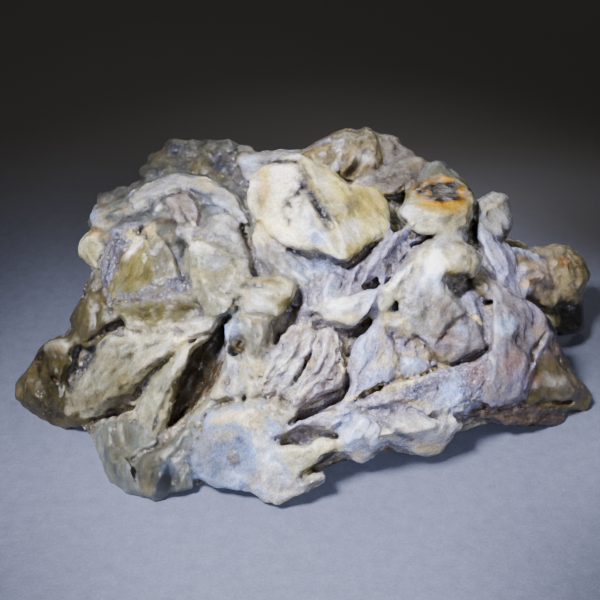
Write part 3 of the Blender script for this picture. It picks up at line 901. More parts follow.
    (132, 234, 8, 6, 0, "yellow", 0.7), (138, 233, 4, 4, 0, "dark", 0.9),
    (143, 228, 3, 3, 0, "ink", 0.9), (133, 248, 4, 12, -40, "white", 0.8),
    (128, 250, 3, 7, -40, "amber", 0.4), (150, 232, 6, 8, 0, "cream", 0.8),
    (169, 222, 4, 16, 80, "brown", 0.8), (158, 206, 4, 4, 0, "white", 0.8),
    (138, 270, 12, 18, 0, "honey", 0.5), (146, 278, 4, 8, 0, "brown", 0.3),
    (198, 247, 12, 5, -10, "white", 0.95), (215, 262, 14, 8, 0, "ice", 0.4),
    (200, 275, 10, 8, 0, "yellow", 0.2), (216, 282, 4, 6, 0, "honey", 0.4),
    (205, 184, 12, 6, 0, "cream", 0.5), (180, 195, 8, 4, 0, "tan", 0.4),
    (218, 206, 10, 6, -20, "ice", 0.5), (225, 222, 10, 8, 60, "chalk", 0.4),
    (184, 245, 5, 8, 60, "ink", 0.8), (182, 236, 3, 4, 0, "ink", 0.7),
    (122, 252, 4, 12, -10, "ink", 0.5), (118, 240, 6, 14, 70, "slate", 0.5),
    (130, 218, 24, 4, 5, "slate", 0.6), (182, 284, 10, 8, 20, "slate", 0.5),
    (156, 292, 16, 5, 15, "slate", 0.4), (96, 234, 10, 4, -10, "amber", 0.5),
    (90, 252, 8, 12, -50, "honey", 0.5), (92, 214, 4, 8, 0, "sky", 0.5),
    (100, 208, 8, 4, 0, "brown", 0.5), (165, 308, 24, 4, 8, "olive", 0.6),
    (192, 306, 12, 5, 0, "brown", 0.4), (205, 322, 18, 5, 0, "white", 0.7),
    (145, 328, 16, 4, -10, "olive", 0.5), (240, 232, 3, 14, 60, "brown", 0.7),
]

# Veins: paint, strength, and the points of the line, each with its half width.
VEINS = [
    ("ink", 0.8, [(180, 207, 1.2), (192, 228, 1.4), (196, 250, 1.2)]),
    ("ink", 0.7, [(196, 244, 1.2), (214, 232, 1.4), (232, 256, 1.4), (240, 278, 1.2)]),
    ("slate", 0.7, [(148, 214, 1.4), (166, 196, 1.4), (190, 190, 1.6), (214, 196, 1.4)]),
    ("ink", 0.6, [(120, 222, 2), (134, 214, 2.4), (150, 212, 2)]),
    ("slate", 0.6, [(498, 300, 1.2), (505, 330, 1.6), (508, 365, 1.2)]),
    ("brown", 0.6, [(522, 306, 1.2), (536, 330, 1.4), (528, 362, 1.2)]),
    ("slate", 0.7, [(378, 352, 1), (390, 357, 1.4), (402, 353, 1)]),
    ("cream", 0.8, [(384, 330, 1.4), (382, 346, 1.6), (378, 364, 1.4)]),
    ("cream", 0.7, [(402, 352, 1.2), (418, 356, 1.4), (432, 356, 1.2)]),
    ("slate", 0.8, [(242, 288, 1), (256, 291, 1.4), (274, 297, 1.2)]),
    ("tan", 0.6, [(274, 297, 1), (272, 310, 1.4), (268, 318, 1)]),
    ("slate", 0.8, [(303, 165, 1.3), (313, 182, 1.3), (328, 205, 1.7), (341, 226, 1.3)]),
    ("ink", 0.8, [(296, 178, 1.3), (305, 192, 1.7), (316, 209, 1.7), (326, 226, 1.7), (330, 232, 1.1)]),
    ("ink", 0.8, [(281, 205, 1.3), (286, 198, 1.7), (296, 190, 1.7), (303, 188, 1.3)]),
    ("slate", 0.8, [(288, 226, 1.3), (290, 212, 1.3), (296, 204, 1.7), (300, 196, 1.3)]),
    ("slate", 0.6, [(306, 215, 1.1), (312, 226, 1.7), (311, 240, 1.3)]),
    ("gold", 0.6, [(265, 174, 1.5), (268, 186, 2.2), (265, 200, 2), (260, 214, 1.5)]),
    ("slate", 0.8, [(234, 450, 1.2), (229, 458, 1.2), (234, 468, 1.2), (241, 460, 1.2), (236, 451, 1.2)]),
    ("brown", 0.7, [(344, 172, 1.1), (350, 184, 1.3), (352, 196, 1.1)]),
    ("ink", 0.7, [(210, 196, 1.1), (222, 206, 1.5), (234, 222, 1.3)]),
    ("dark", 0.8, [(86, 424, 1.3), (112, 396, 1.7), (140, 372, 1.7), (172, 352, 1.3)]),
    ("dark", 0.7, [(120, 360, 1.1), (140, 350, 1.5), (168, 341, 1.1)]),
    ("dark", 0.8, [(152, 430, 1.3), (163, 400, 1.7), (182, 374, 1.7), (196, 350, 1.1)]),
    ("ink", 0.9, [(283, 207, 1.5), (290, 201, 1.5), (299, 192, 2), (301, 183, 2)]),
    ("ink", 0.9, [(306, 186, 1.5), (313, 200, 2.5), (322, 212, 3), (331, 223, 2)]),
    ("slate", 0.7, [(300, 168, 1.5), (309, 184, 1.5), (324, 206, 1.5), (335, 222, 1)]),
    ("ink", 0.9, [(262, 163, 2), (280, 161, 2.5), (297, 162, 2)]),
    ("brown", 0.6, [(343, 203, 1.5), (350, 209, 1.5), (357, 220, 1)]),
    ("brown", 0.6, [(289, 212, 1), (288, 219, 1.5), (291, 224, 1)]),
    ("slate", 0.8, [(118, 234, 2), (112, 260, 3), (106, 284, 2)]),
    ("ink", 0.9, [(135, 232, 2), (142, 229, 2.5), (148, 238, 2)]),
    ("ink", 0.8, [(176, 240, 2), (184, 248, 3), (180, 258, 2)]),
    ("slate", 0.8, [(70, 392, 2), (80, 372, 4), (94, 352, 4), (104, 342, 2)]),
    ("slate", 0.7, [(152, 284, 1.5), (170, 279, 2), (190, 282, 2)]),
    ("brown", 0.8, [(104, 303, 1), (120, 303, 1.2), (140, 299, 1)]),
    ("ink", 0.7, [(206, 205, 1), (222, 207, 1.5), (236, 220, 1.5)]),
    ("slate", 0.8, [(236, 288, 1), (250, 284, 1.4), (266, 288, 1)]),
    ("dark", 0.8, [(383, 328, 1), (390, 338, 1.2), (402, 338, 1)]),
    ("brown", 0.9, [(464, 314, 1), (452, 328, 1.4), (438, 343, 1)]),
    ("brown", 0.7, [(389, 311, 1), (394, 302, 1.2), (406, 298, 1)]),
    ("brown", 0.7, [(410, 307, 1), (424, 303, 1.2), (428, 310, 1)]),
    ("slate", 0.7, [(474, 296, 1.5), (480, 318, 2.5), (484, 338, 1.5)]),
    ("slate", 0.8, [(498, 286, 1.5), (511, 295, 1.8), (524, 301, 1.5)]),
    ("slate", 0.6, [(130, 345, 1), (108, 364, 1.4), (86, 392, 1)]),
    ("brown", 0.6, [(160, 340, 1), (136, 352, 1.2), (112, 373, 1)]),
    ("slate", 0.5, [(192, 351, 1), (172, 372, 1.2), (158, 398, 1)]),
    ("brown", 0.6, [(300, 330, 1), (297, 350, 1.5), (288, 370, 1.2)]),
    ("brown", 0.6, [(322, 338, 1), (319, 354, 1.5), (309, 370, 1.2)]),
    ("mauve", 0.7, [(334, 338, 1), (330, 358, 1.5), (316, 376, 1.5)]),
    ("mauve", 0.7, [(342, 350, 1), (338, 372, 2), (322, 390, 2), (300, 400, 1.5)]),
    ("cream", 0.9, [(345, 344, 1.5), (346, 360, 2), (345, 376, 1.5)]),
    ("cream", 0.9, [(378, 319, 1.5), (384, 313, 2), (398, 316, 2), (409, 329, 1.5)]),
    ("cream", 0.9, [(393, 344, 1), (396, 358, 1.5), (400, 378, 1.5)]),
    ("cream", 0.9, [(425, 352, 1), (427, 362, 1.5), (424, 372, 1)]),
    ("cream", 0.8, [(348, 401, 2), (372, 391, 2.5), (400, 380, 2.5), (430, 371, 2), (452, 363, 1.5)]),
    ("white", 0.9, [(380, 302, 2), (386, 290, 3), (402, 276, 3), (420, 260, 2)]),
    ("cream", 0.8, [(486, 304, 2), (489, 310, 3), (490, 314, 2)]),
    ("cream", 0.9, [(474, 318, 1.5), (479, 320, 2), (482, 324, 1)]),
    ("cream", 0.7, [(300, 328, 1.5), (306, 324, 2), (314, 326, 1.5)]),
    ("cream", 0.7, [(316, 344, 1), (319, 356, 2), (312, 366, 1.5)]),
    ("white", 0.8, [(128, 258, 1.5), (134, 246, 2), (141, 238, 1.5)]),
    ("white", 0.8, [(190, 249, 1.5), (198, 246, 2.5), (212, 250, 2)]),
    ("slate", 0.6, [(362, 398, 1), (380, 404, 1.5), (396, 412, 1)]),
    ("slate", 0.7, [(386, 424, 1.5), (398, 434, 2.5), (412, 440, 1.5)]),
    ("slate", 0.6, [(100, 432, 1), (107, 456, 1.5), (120, 480, 1)]),
    ("slate", 0.5, [(113, 428, 1), (115, 450, 1.4), (122, 470, 1)]),
    ("slate", 0.6, [(190, 430, 1), (186, 454, 1.5), (190, 484, 1)]),
    ("ink", 0.5, [(212, 446, 1.5), (226, 444, 2), (238, 438, 2), (248, 448, 1.5)]),
    ("brown", 0.7, [(290, 431, 1), (312, 422, 1.2), (336, 410, 1)]),
    ("rust", 0.6, [(240, 283, 1), (256, 284, 1.4), (274, 280, 1)]),
    ("slate", 0.6, [(532, 285, 1), (552, 288, 1.5), (576, 285, 1)]),
    ("brown", 0.6, [(470, 412, 1), (500, 408, 1.5), (540, 408, 1.5), (570, 406, 1)]),
    ("dark", 0.7, [(44, 352, 1.5), (38, 362, 2.5), (42, 376, 2)]),
    ("dark", 0.6, [(50, 376, 2), (60, 384, 3), (62, 398, 2)]),
    ("dark", 0.5, [(26, 392, 1.5), (44, 406, 2), (62, 418, 1.5)]),
    ("dark", 0.6, [(98, 302, 1), (95, 322, 1.6), (90, 344, 1.2)]),
]

# Broad soft shades over the forms: place, half sizes, and stops lighter or darker.
SHADES = [
    (128, 275, 24, 28, -0.9), (164, 262, 16, 26, -1.1), (215, 280, 32, 36, -1.6),
    (222, 236, 20, 20, -0.7), (186, 209, 18, 14, -0.8), (160, 312, 60, 13, -1.2),
    (195, 322, 34, 12, -0.5), (115, 375, 50, 34, -1.2), (170, 385, 30, 34, -0.6),
    (45, 385, 30, 40, -1.2), (90, 318, 20, 28, -0.8), (165, 470, 36, 28, -1.2),
    (115, 455, 26, 34, 0.1), (258, 330, 18, 30, -1.2), (230, 452, 38, 38, -0.8),
    (288, 265, 28, 18, -1.0), (493, 216, 18, 22, -0.8), (502, 270, 24, 32, 0.4),
    (552, 276, 36, 28, 1.9), (438, 268, 18, 22, 0.8), (432, 312, 28, 22, -0.8),
    (345, 155, 34, 24, 0.6), (364, 440, 20, 20, 1.0), (425, 435, 36, 18, 0.2),
    (325, 365, 22, 34, -0.1), (280, 372, 28, 34, -0.2), (270, 228, 20, 20, 0.5),
    (370, 210, 22, 18, 0.4), (200, 160, 46, 20, -0.4), (192, 194, 46, 12, -0.6),
    (286, 305, 8, 14, -0.4), (345, 308, 28, 14, -0.1),
    (515, 345, 24, 50, -0.4), (372, 365, 26, 30, -0.4), (305, 460, 26, 14, -0.3),
    (388, 178, 30, 14, -0.4), (203, 374, 9, 28, -0.4), (400, 262, 12, 16, -0.3),
    (545, 325, 14, 22, 0.4), (500, 416, 60, 12, 0.8), (565, 385, 30, 16, 0.4),
]

# The slow warp that takes the ruled look off the forms: wavelength and reach.
WARPS = [(0.016, 0.0011), (0.006, 0.0006), (0.0028, 0.00035)]
# The grain of the two skins: the first, which is cut, and the finished one.
BLOCK_VOXEL = 0.0007
SKIN_VOXEL = 0.00055
# About how many triangles the finished skin keeps before it is cut off at the ground. The
# thinning is least on the side towards the viewer, which it spares by this much.
TRIANGLES_KEPT = 222000
FRONT_THINNED = 0.1
FRONT_SPARED = 1e-4
# The wandering of the crevices, pits and folds, in pixels: its reach, and its wavelength
# across the photograph and in lift.
WOBBLE = 1.4
WOBBLE_LENGTH = 7
WOBBLE_LIFT = 30
# How steeply the walls of a crevice and of a pit rise, and how far below its own surface a
# point has to lie to count as deep.
CREVICE_RISE = 26
PIT_RISE = 40
FULLY_SUNK = 16
# The paints halfway down a crevice and at its bottom, and how much of them is laid on.
CUT_PAINTS = ("bronze", "cave")
CUT_SHARES = (0.6, 0.85)
# The torn edges of the stains and veins: reach in pixels, and wavelength. Then how wide
# the edge of a stain is, soft and sharp, and the edge of a vein.
RAGGED = 1.6
RAGGED_LENGTH = 0.0028
SOFT_EDGE = 8
SHARP_EDGE = 3.5
VEIN_EDGE = 1.6
# How much richer and deeper the paint is than the colour seen on a screen, and which way
# the warm places shift it.
RICHNESS = 1.1
DEPTH_OF_TONE = 1.95
WARM_SHIFT = (0.05, 0.0, -0.2)
# How the fine streaks are drawn out along the layers, and the paints of the surface: cool
# and warm casts, dark and pale lines, flecks and sparkles.
DRAWN_OUT = (1.0, 0.12, 0.4)
COOL_CAST = (0.93, 0.98, 1.12, 1.0)
WARM_CAST = (1.06, 1.0, 0.86, 1.0)
DARK_LINES = (0.22, 0.20, 0.24, 1.0)
PALE_LINES = (0.10, 0.10, 0.10, 1.0)
FLECKS = (0.03, 0.032, 0.055, 1.0)
SPARKLES = (0.92, 0.92, 0.95, 1.0)
# The floor: its size and the place of its middle behind the stone, and its cloth, which
# gives way to bare ground between these two distances behind the stone.
FLOOR_SIZE = 6
FLOOR_MIDDLE = 1.0
CLOTH = (0.10, 0.113, 0.175, 1.0)
GROUND = (0.085, 0.08, 0.075, 1.0)
GROUND_FROM, GROUND_FULL = 0.06, 0.25
# Soft dark places on the cloth: where, how wide, and the share of its colour that is lost.
FLOOR_SHADES = [
    (0.100, -0.100, 0.080, 0.7), (-0.100, -0.105, 0.080, 0.5), (0.112, 0.040, 0.060, 0.5),
    (0.140, 0.130, 0.090, 0.9)]
# The lamps: place, the point each shines at, power, size, width of the beam, and tint.
LAMPS = {
    "key": ((-0.19, -0.31, 0.46), (0.002, -0.045, 0.025), 52, 0.055, 33, (0.98, 0.96, 1.0)),
    "fill": ((0.10, -0.52, 0.30), (0.01, -0.05, 0.03), 13, 0.1, 31, (0.87, 0.88, 1.0)),
    "back": ((0.08, 0.50, 0.34), (0.0, 0.06, 0.03), 12, 0.15, 25, (1.0, 0.98, 0.96)),
}
AIR_TINT = (1.0, 0.95, 0.88, 1.0)
AIR_STRENGTH = 0.15


def swell(x, y):
    """How far the even surface stands towards the viewer at a place on the photograph."""
    up = np.where(y < SWELL_MIDDLE[1], SWELL_UPWARDS, SWELL_DOWNWARDS)
    return (SWELL_NEAREST - SWELL_SIDEWAYS * (x - SWELL_MIDDLE[0]) ** 2
            - up * (y - SWELL_MIDDLE[1]) ** 2)


SINE, COSINE = math.sin(VIEW_ELEVATION), math.cos(VIEW_ELEVATION)
RIGHT = np.array((1.0, 0.0, 0.0))
UP = np.array((0.0, SINE, COSINE))
TOWARDS = np.array((0.0, -COSINE, SINE))


def to_space(x, y, lift):
    """The points in space seen at (x, y) on the photograph, at these lifts."""
    towards = (swell(x, y) + lift) * PIXEL
    spread = PIXEL * (VIEW_DISTANCE - towards) / VIEW_DISTANCE
    right, up = (x - PHOTO_MIDDLE) * spread, (PHOTO_MIDDLE - y) * spread
    return (np.array(LOOKED_AT) + np.multiply.outer(right, RIGHT)
            + np.multiply.outer(up, UP) + np.multiply.outer(towards, TOWARDS))


def to_photo(points):
    """The places and lifts of points in space, as the photograph sees them."""
    from_middle = points - np.array(LOOKED_AT)
    towards = from_middle @ TOWARDS
    spread = PIXEL * (VIEW_DISTANCE - towards) / VIEW_DISTANCE
    x = PHOTO_MIDDLE + (from_middle @ RIGHT) / spread
    y = PHOTO_MIDDLE - (from_middle @ UP) / spread
    return x, y, towards / PIXEL - swell(x, y)


def place(x, y, lift):
    return Vector(to_space(x, y, lift))


def seen_at(point):
    """The place on the photograph where a point in space is seen."""
    x, y, _ = to_photo(np.array(point))
    return x, y


class BlockOut:
    """The heap of closed forms, which remembers the form that each face belongs to."""

    def __init__(self):
        self.shape = bmesh.new()
        self.of_face = self.shape.faces.layers.int.new("form")
        self.forms = []

    def begin(self, look, grain):
        """Starts a form with a look, and a vector that its layers run along."""
        self.forms.append((look, Vector(grain).normalized()))
        self.known = len(self.shape.faces)

    def end(self):
        self.shape.faces.ensure_lookup_table()
        for i in range(self.known, len(self.shape.faces)):
            self.shape.faces[i][self.of_face] = len(self.forms) - 1

    def loft(self, rings):
        """One closed form: skins over the rings in turn, and caps the first and last."""
        loops = [[self.shape.verts.new(point) for point in ring] for ring in rings]
        for near, far in zip(loops, loops[1:]):
            for i in range(len(near)):
                j = (i + 1) % len(near)
                self.shape.faces.new((near[i], near[j], far[j], far[i]))
        self.shape.faces.new(loops[0][::-1])
        self.shape.faces.new(loops[-1])

    def hull(self, points):
        corners = [self.shape.verts.new(point) for point in points]
        made = bmesh.ops.convex_hull(self.shape, input=corners)
        inside = [v for v in made["geom_interior"] if isinstance(v, bmesh.types.BMVert)]
        bmesh.ops.delete(self.shape, geom=inside, context="VERTS")

    def ball(self, placed):
        """A round form whose points are placed by a function of a unit vector."""
        made = bmesh.ops.create_icosphere(self.shape, subdivisions=3, radius=1.0)
        for vert in made["verts"]:
            vert.co = placed(vert.co)


def grain_vector(degrees):
    turn = math.radians(degrees)
    return math.cos(turn) * RIGHT + math.sin(turn) * UP


def scaled(corners, centre, factor, raised):
    """The corners drawn towards the centre by a factor, and raised."""
    return [(centre[0] + (x - centre[0]) * factor, centre[1] + (y - centre[1]) * factor, z + raised)
            for x, y, z in corners]


def add_slab(block, lift, rise, look, grain, corners):
    """A form with a flat or crowned front, wider where it sinks into the stone."""
    rim = [(c[0], c[1], lift + (c[2] if len(c) > 2 else 0)) for c in corners]
    centre = [sum(c[axis] for c in rim) / len(rim) for axis in (0, 1)]
    rings = [scaled(rim, centre, size, rise * share) for size, share in SLAB_RINGS]
    rings.append(scaled(rim, centre, 1.0, -SLAB_EDGE_DROP))
    rings.append(scaled(rim, centre, SLAB_FLARE, -SLAB_DEPTH))
    block.begin(look, grain_vector(grain))
    block.loft([[place(*corner) for corner in ring] for ring in rings])
    block.end()


def add_knob(block, middle, lift, sizes, look):
    x, y = middle
    block.begin(look, grain_vector(60))
    block.ball(lambda way: place(
        x + way.x * sizes[0], y - way.z * sizes[1], lift - way.y * sizes[2]))
    block.end()


def add_strand(block, lift, half_width, look, points):
    """A rib with an oval section, thinner at its ends, sunk along the points."""
    last = len(points) - 1
    rings = []
    for i, (x, y) in enumerate(points):
        before, after = points[max(i - 1, 0)], points[min(i + 1, last)]
        along = Vector((after[0] - before[0], after[1] - before[1])).normalized()
        width = half_width * (0.6 if i in (0, last) else 1.0)
        ring = []
        for k in range(STRAND_SIDES):
            turn = 2 * math.pi * k / STRAND_SIDES
            across, out = math.cos(turn) * width, math.sin(turn) * width
            depth = out if out > 0 else out * STRAND_DEPTH
            ring.append(place(x - along.y * across, y + along.x * across, lift - width + depth))
        rings.append(ring)
    (ax, ay), (bx, by) = points[0], points[-1]
    block.begin(look, (bx - ax) * RIGHT - (by - ay) * UP)
    block.loft(rings)
    block.end()


def core_corners():
    return [place(*corner) for corner in CORE_FRONT] + [Vector(point) for point in CORE_BACK]


def core_spots(draw):
    """Random spots on the core's back and ends, each with the way the core faces there."""
    core = BlockOut()
    core.hull(core_corners())
    bmesh.ops.recalc_face_normals(core.shape, faces=core.shape.faces)
    bmesh.ops.triangulate(core.shape, faces=core.shape.faces)
    faces = [f for f in core.shape.faces if f.normal.y > BACK_FACING and f.normal.z > -0.6]
    areas = [f.calc_area() for f in faces]
    spots = []
    while len(spots) < CORE_BLADES:
        face = draw.choices(faces, areas)[0]
        a, b, c = (v.co for v in face.verts)
        u, v = sorted((draw.random(), draw.random()))
        spot = a * u + b * (v - u) + c * (1 - v)
        if spot.z > BACK_LOWEST:
            spots.append((spot, face.normal.copy()))
    core.shape.free()
    return spots


def lump_spots(draw):
    """Random spots on the lumps of the back."""
    spots = []
    while len(spots) < LUMP_BLADES:
        middle, sizes = BACK_LUMPS[len(spots) % len(BACK_LUMPS)]
        way = Vector((draw.gauss(0, 1), draw.gauss(0, 1), draw.gauss(0, 1))).normalized()
        spot = Vector(m + w * s for m, w, s in zip(middle, way, sizes))
        if spot.z > BACK_LOWEST and way.y > -0.2:
            spots.append((spot, way))
    return spots


def inside_outline(x, y):
    """Whether a place on the photograph lies within the stone's outline."""
    crossings = 0
    for (ax, ay), (bx, by) in zip(OUTLINE, OUTLINE[1:] + OUTLINE[:1]):
        if (ay > y) != (by > y) and x < ax + (y - ay) * (bx - ax) / (by - ay):
            crossings += 1
    return crossings % 2 == 1


def tucked_in(corners):
    """The corners moved inwards until the photograph wouldn't show them, or nothing."""
    for _ in range(TUCK_STEPS):
        if all(inside_outline(*seen_at(corner)) for corner in corners):
            return corners
        corners = [corner.lerp(TUCK_TOWARDS, TUCK_SHARE) for corner in corners]
    return []


def add_back_blades(block):
    """Angular blades and lumps, leaning out of the core wherever the front's forms aren't."""
    draw = random.Random(BACK_SEED)
    for number, (spot, normal) in enumerate(core_spots(draw) + lump_spots(draw)):
        long_side = draw.uniform(BACK_SHORTEST, BACK_LONGEST)
        half_sizes = (long_side, long_side * draw.uniform(0.35, 0.6), long_side * 0.5)
        lean = Matrix.Rotation(BACK_GRAIN + draw.gauss(0, 0.35), 4, "Z")
        tilt = Matrix.Rotation(draw.uniform(-0.4, 0.4), 4, "X")
        turn = normal.to_track_quat("Z", "Y").to_matrix().to_4x4()
        sunk = Matrix.Translation(spot - normal * draw.uniform(0, 0.003))
        corners = []
        for _ in range(14):
            way = Vector((draw.gauss(0, 1), draw.gauss(0, 1), draw.gauss(0, 1))).normalized()
            corner = Vector(c * h for c, h in zip(way, half_sizes))
            corners.append(sunk @ turn @ lean @ tilt @ corner)
        corners = tucked_in(corners)
        if not corners:
            continue
        block.begin(BACK_LOOKS[number % len(BACK_LOOKS)], (turn @ lean).to_3x3() @ Vector((1, 0, 0)))
        block.hull(corners)
        block.end()


def block_out():
    """All the forms together, as overlapping closed shells."""
    block = BlockOut()
    block.begin("crust", (0.7, 0.0, 0.7))
    block.hull(core_corners())
    block.end()
    for lift, rise, look, grain, corners in SLABS.values():
        add_slab(block, lift, rise, look, grain, corners)
    for middle, lift, sizes, look in KNOBS.values():
        add_knob(block, middle, lift, sizes, look)
    for middle in HEAP:
        add_knob(block, middle, HEAP_LIFT, HEAP_SIZE, "heap")
    for lift, half_width, look, points in STRANDS.values():
        add_strand(block, lift, half_width, look, points)
    for middle, sizes in BACK_LUMPS:
        block.begin("crust", (0.7, 0.0, 0.7))
        block.ball(lambda way: Vector(m + c * s for m, c, s in zip(middle, way, sizes)))
        block.end()
    add_back_blades(block)
    bmesh.ops.recalc_face_normals(block.shape, faces=block.shape.faces)
    return block


def remeshed(mesh, voxel):
    """The shells of a mesh as one closed skin, by a voxel remesh."""
    holder = bpy.data.objects.new("heap of forms", mesh)
    bpy.context.scene.collection.objects.link(holder)
    remesh = holder.modifiers.new("join", "REMESH")
    remesh.mode = "VOXEL"
    remesh.voxel_size = voxel
    graph = bpy.context.evaluated_depsgraph_get()
    skin = bpy.data.meshes.new_from_object(holder.evaluated_get(graph))
    bpy.data.objects.remove(holder)
    return skin


def positions(mesh):
    points = np.empty(len(mesh.vertices) * 3, np.float32)
    mesh.vertices.foreach_get("co", points)
    return points.reshape(-1, 3).astype(np.float64)


def set_positions(mesh, points):
    mesh.vertices.foreach_set("co", points.astype(np.float32).ravel())
    mesh.update()


def normals(mesh):
    found = np.empty(len(mesh.vertices) * 3, np.float32)
    mesh.vertices.foreach_get("normal", found)
    return found.reshape(-1, 3).astype(np.float64)


def edges(mesh):
    ends = np.empty(len(mesh.edges) * 2, np.int32)
    mesh.edges.foreach_get("vertices", ends)
    return ends.reshape(-1, 2)


def spread_out(values, ends, rounds):
    """Values on vertices, averaged with their neighbours' again and again."""
    a, b = ends[:, 0], ends[:, 1]
    count = len(values)
    degree = np.bincount(a, minlength=count) + np.bincount(b, minlength=count)
    flat = values.reshape(count, -1).copy()
    for _ in range(rounds):
        for k in range(flat.shape[1]):
            total = (np.bincount(a, flat[b, k], count) + np.bincount(b, flat[a, k], count))
            flat[:, k] = 0.5 * flat[:, k] + 0.5 * total / degree
    return flat.reshape(values.shape)


def lattice(ix, iy, iz, seed):
    """A repeatable random number from 0 to 1 for each lattice point."""
    h = (ix * 374761393 + iy * 668265263 + iz * 2147483629 + seed * 97531) & 0xFFFFFFFF
    h = ((h ^ (h >> 13)) * 1274126177) & 0xFFFFFFFF
    h = ((h ^ (h >> 16)) * 2246822519) & 0xFFFFFFFF
    return ((h ^ (h >> 15)) & 0xFFFFFF) / float(0xFFFFFF)


def noise(points, seed):
    """Smooth noise from -1 to 1."""
    low = np.floor(points).astype(np.int64)
    part = points - low
    part = part * part * part * (part * (part * 6 - 15) + 10)
    total = 0
    for dx in (0, 1):
        for dy in (0, 1):
            for dz in (0, 1):
                weight = (np.abs(1 - dx - part[:, 0]) * np.abs(1 - dy - part[:, 1])
                          * np.abs(1 - dz - part[:, 2]))
                total = total + weight * lattice(low[:, 0] + dx, low[:, 1] + dy, low[:, 2] + dz, seed)
    return 2 * total - 1


def rough_noise(points, seed, octaves=3):
    total, size, scale = 0, 1.0, 1.0
    for k in range(octaves):
        total = total + size * noise(points * scale, seed + k)
        size, scale = size * 0.5, scale * 2.03
    return total


def cells(points, seed):
    """The nearest of scattered middles: its lattice place, the way from it, the gap to the next."""
    low = np.floor(points).astype(np.int64)
    best = np.full(len(points), 1e9)
    second = np.full(len(points), 1e9)
    away = np.zeros_like(points)
    key = np.zeros_like(low)
    for step in np.ndindex(3, 3, 3):
        cell = low + np.array(step) - 1
        middle = np.stack([lattice(*cell.T, seed + i) for i in range(3)], 1)
        off = points - cell - middle
        apart = np.sum(off * off, 1)
        closer = apart < best
        second = np.where(closer, best, np.minimum(second, apart))
        best = np.where(closer, apart, best)
        away[closer] = off[closer]
        key[closer] = cell[closer]
    return key, away, np.sqrt(second) - np.sqrt(best)


def splinters(points, seed, step, tilt, groove):
    """Flat chips with tilted faces and grooves between them: height, and a number per chip."""
    key, away, gap = cells(points, seed)
    chance = [lattice(*key.T, seed + 10 + i) for i in range(4)]
    height = step * (chance[0] - 0.5) + tilt * (away[:, 0] * (chance[1] - 0.5) * 2
                                                + away[:, 1] * (chance[2] - 0.5))
    return height - groove * np.clip(1 - gap / 0.14, 0, 1), chance[3]


def warped(points):
    moved = points.copy()
    for k, (wavelength, reach) in enumerate(WARPS):
        moved += reach * np.stack([noise(points / wavelength, 10 * k + i) for i in range(3)], 1)
    return moved


def distance_to_line(x, y, line, in_steps=False):
    """How far places are from a line of points: over its half width there, or with it."""
    best = np.full(len(x), 1e9)
    wide = np.ones(len(x))
    for (ax, ay, aw), (bx, by, bw) in zip(line, line[1:]):
        dx, dy = bx - ax, by - ay
        t = np.clip(((x - ax) * dx + (y - ay) * dy) / (dx * dx + dy * dy), 0, 1)
        half = aw + t * (bw - aw)
        away = np.hypot(x - ax - t * dx, y - ay - t * dy) / (1 if in_steps else half)
        wide = np.where(away < best, half, wide)
        best = np.minimum(best, away)
    return (best, wide) if in_steps else best


def folded(x, y, lift, facing):
    """The lifts with the ridges and furrows on them, where the skin faces the viewer."""
    raised = np.zeros(len(x))
    for rise, line in (fold for region in FOLDS.values() for fold in region):
        wide = max(point[2] for point in line)
        left, right = (pick(point[0] for point in line) for pick in (min, max))
        top, bottom = (pick(point[1] for point in line) for pick in (min, max))
        near = np.nonzero((x > left - wide) & (x < right + wide)
                          & (y > top - wide) & (y < bottom + wide) & (facing > 0))[0]
        away = distance_to_line(x[near], y[near], line)
        raised[near] += rise * np.clip(1 - away, 0, 1)
    return lift + raised * np.clip(facing * 2.5, 0, 1)


def cut_crevices(points, facing):
    """Folds the skin, and pushes it away from the viewer along the crevices and in the pits."""
    x, y, lift = to_photo(points)
    wandering = np.stack([x / WOBBLE_LENGTH, y / WOBBLE_LENGTH, lift / WOBBLE_LIFT], 1)
    wobble = WOBBLE * rough_noise(wandering, 77, 2)
    lift = folded(x + wobble, y - wobble, lift, facing)
    lowest = lift.copy()
    for floor, line in CREVICES.values():
        away = distance_to_line(x + wobble, y - wobble, line) / CREVICE_WIDTH
        floor = floor * CREVICE_DEPTH
        near = away < 2.5
        limit = floor + CREVICE_RISE * np.clip(away - 0.55, 0, 9) ** 1.3 * CREVICE_STEEPNESS
        lowest[near] = np.minimum(lowest[near], np.maximum(limit, floor)[near])
    for (px, py), (rx, ry), floor in PITS.values():
        away = np.hypot((x + wobble - px) / rx, (y - wobble - py) / ry)
        limit = floor + PIT_RISE * np.clip(away - 0.5, 0, 9) ** 1.5 * CREVICE_STEEPNESS
        lowest = np.where(away < 2, np.minimum(lowest, limit), lowest)
    return to_space(x, y, lowest), np.clip((lift - lowest) / FULLY_SUNK, 0, 1)


def colour(seen):
    """The paint that looks like a colour seen on a screen, a little richer and deeper."""
    seen = np.asarray(seen, float) / 255
    light = np.where(seen <= 0.04045, seen / 12.92, ((seen + 0.055) / 1.055) ** 2.4)
    grey = light.mean()
    return np.clip(grey + (light - grey) * RICHNESS, 0.002, 1) ** DEPTH_OF_TONE


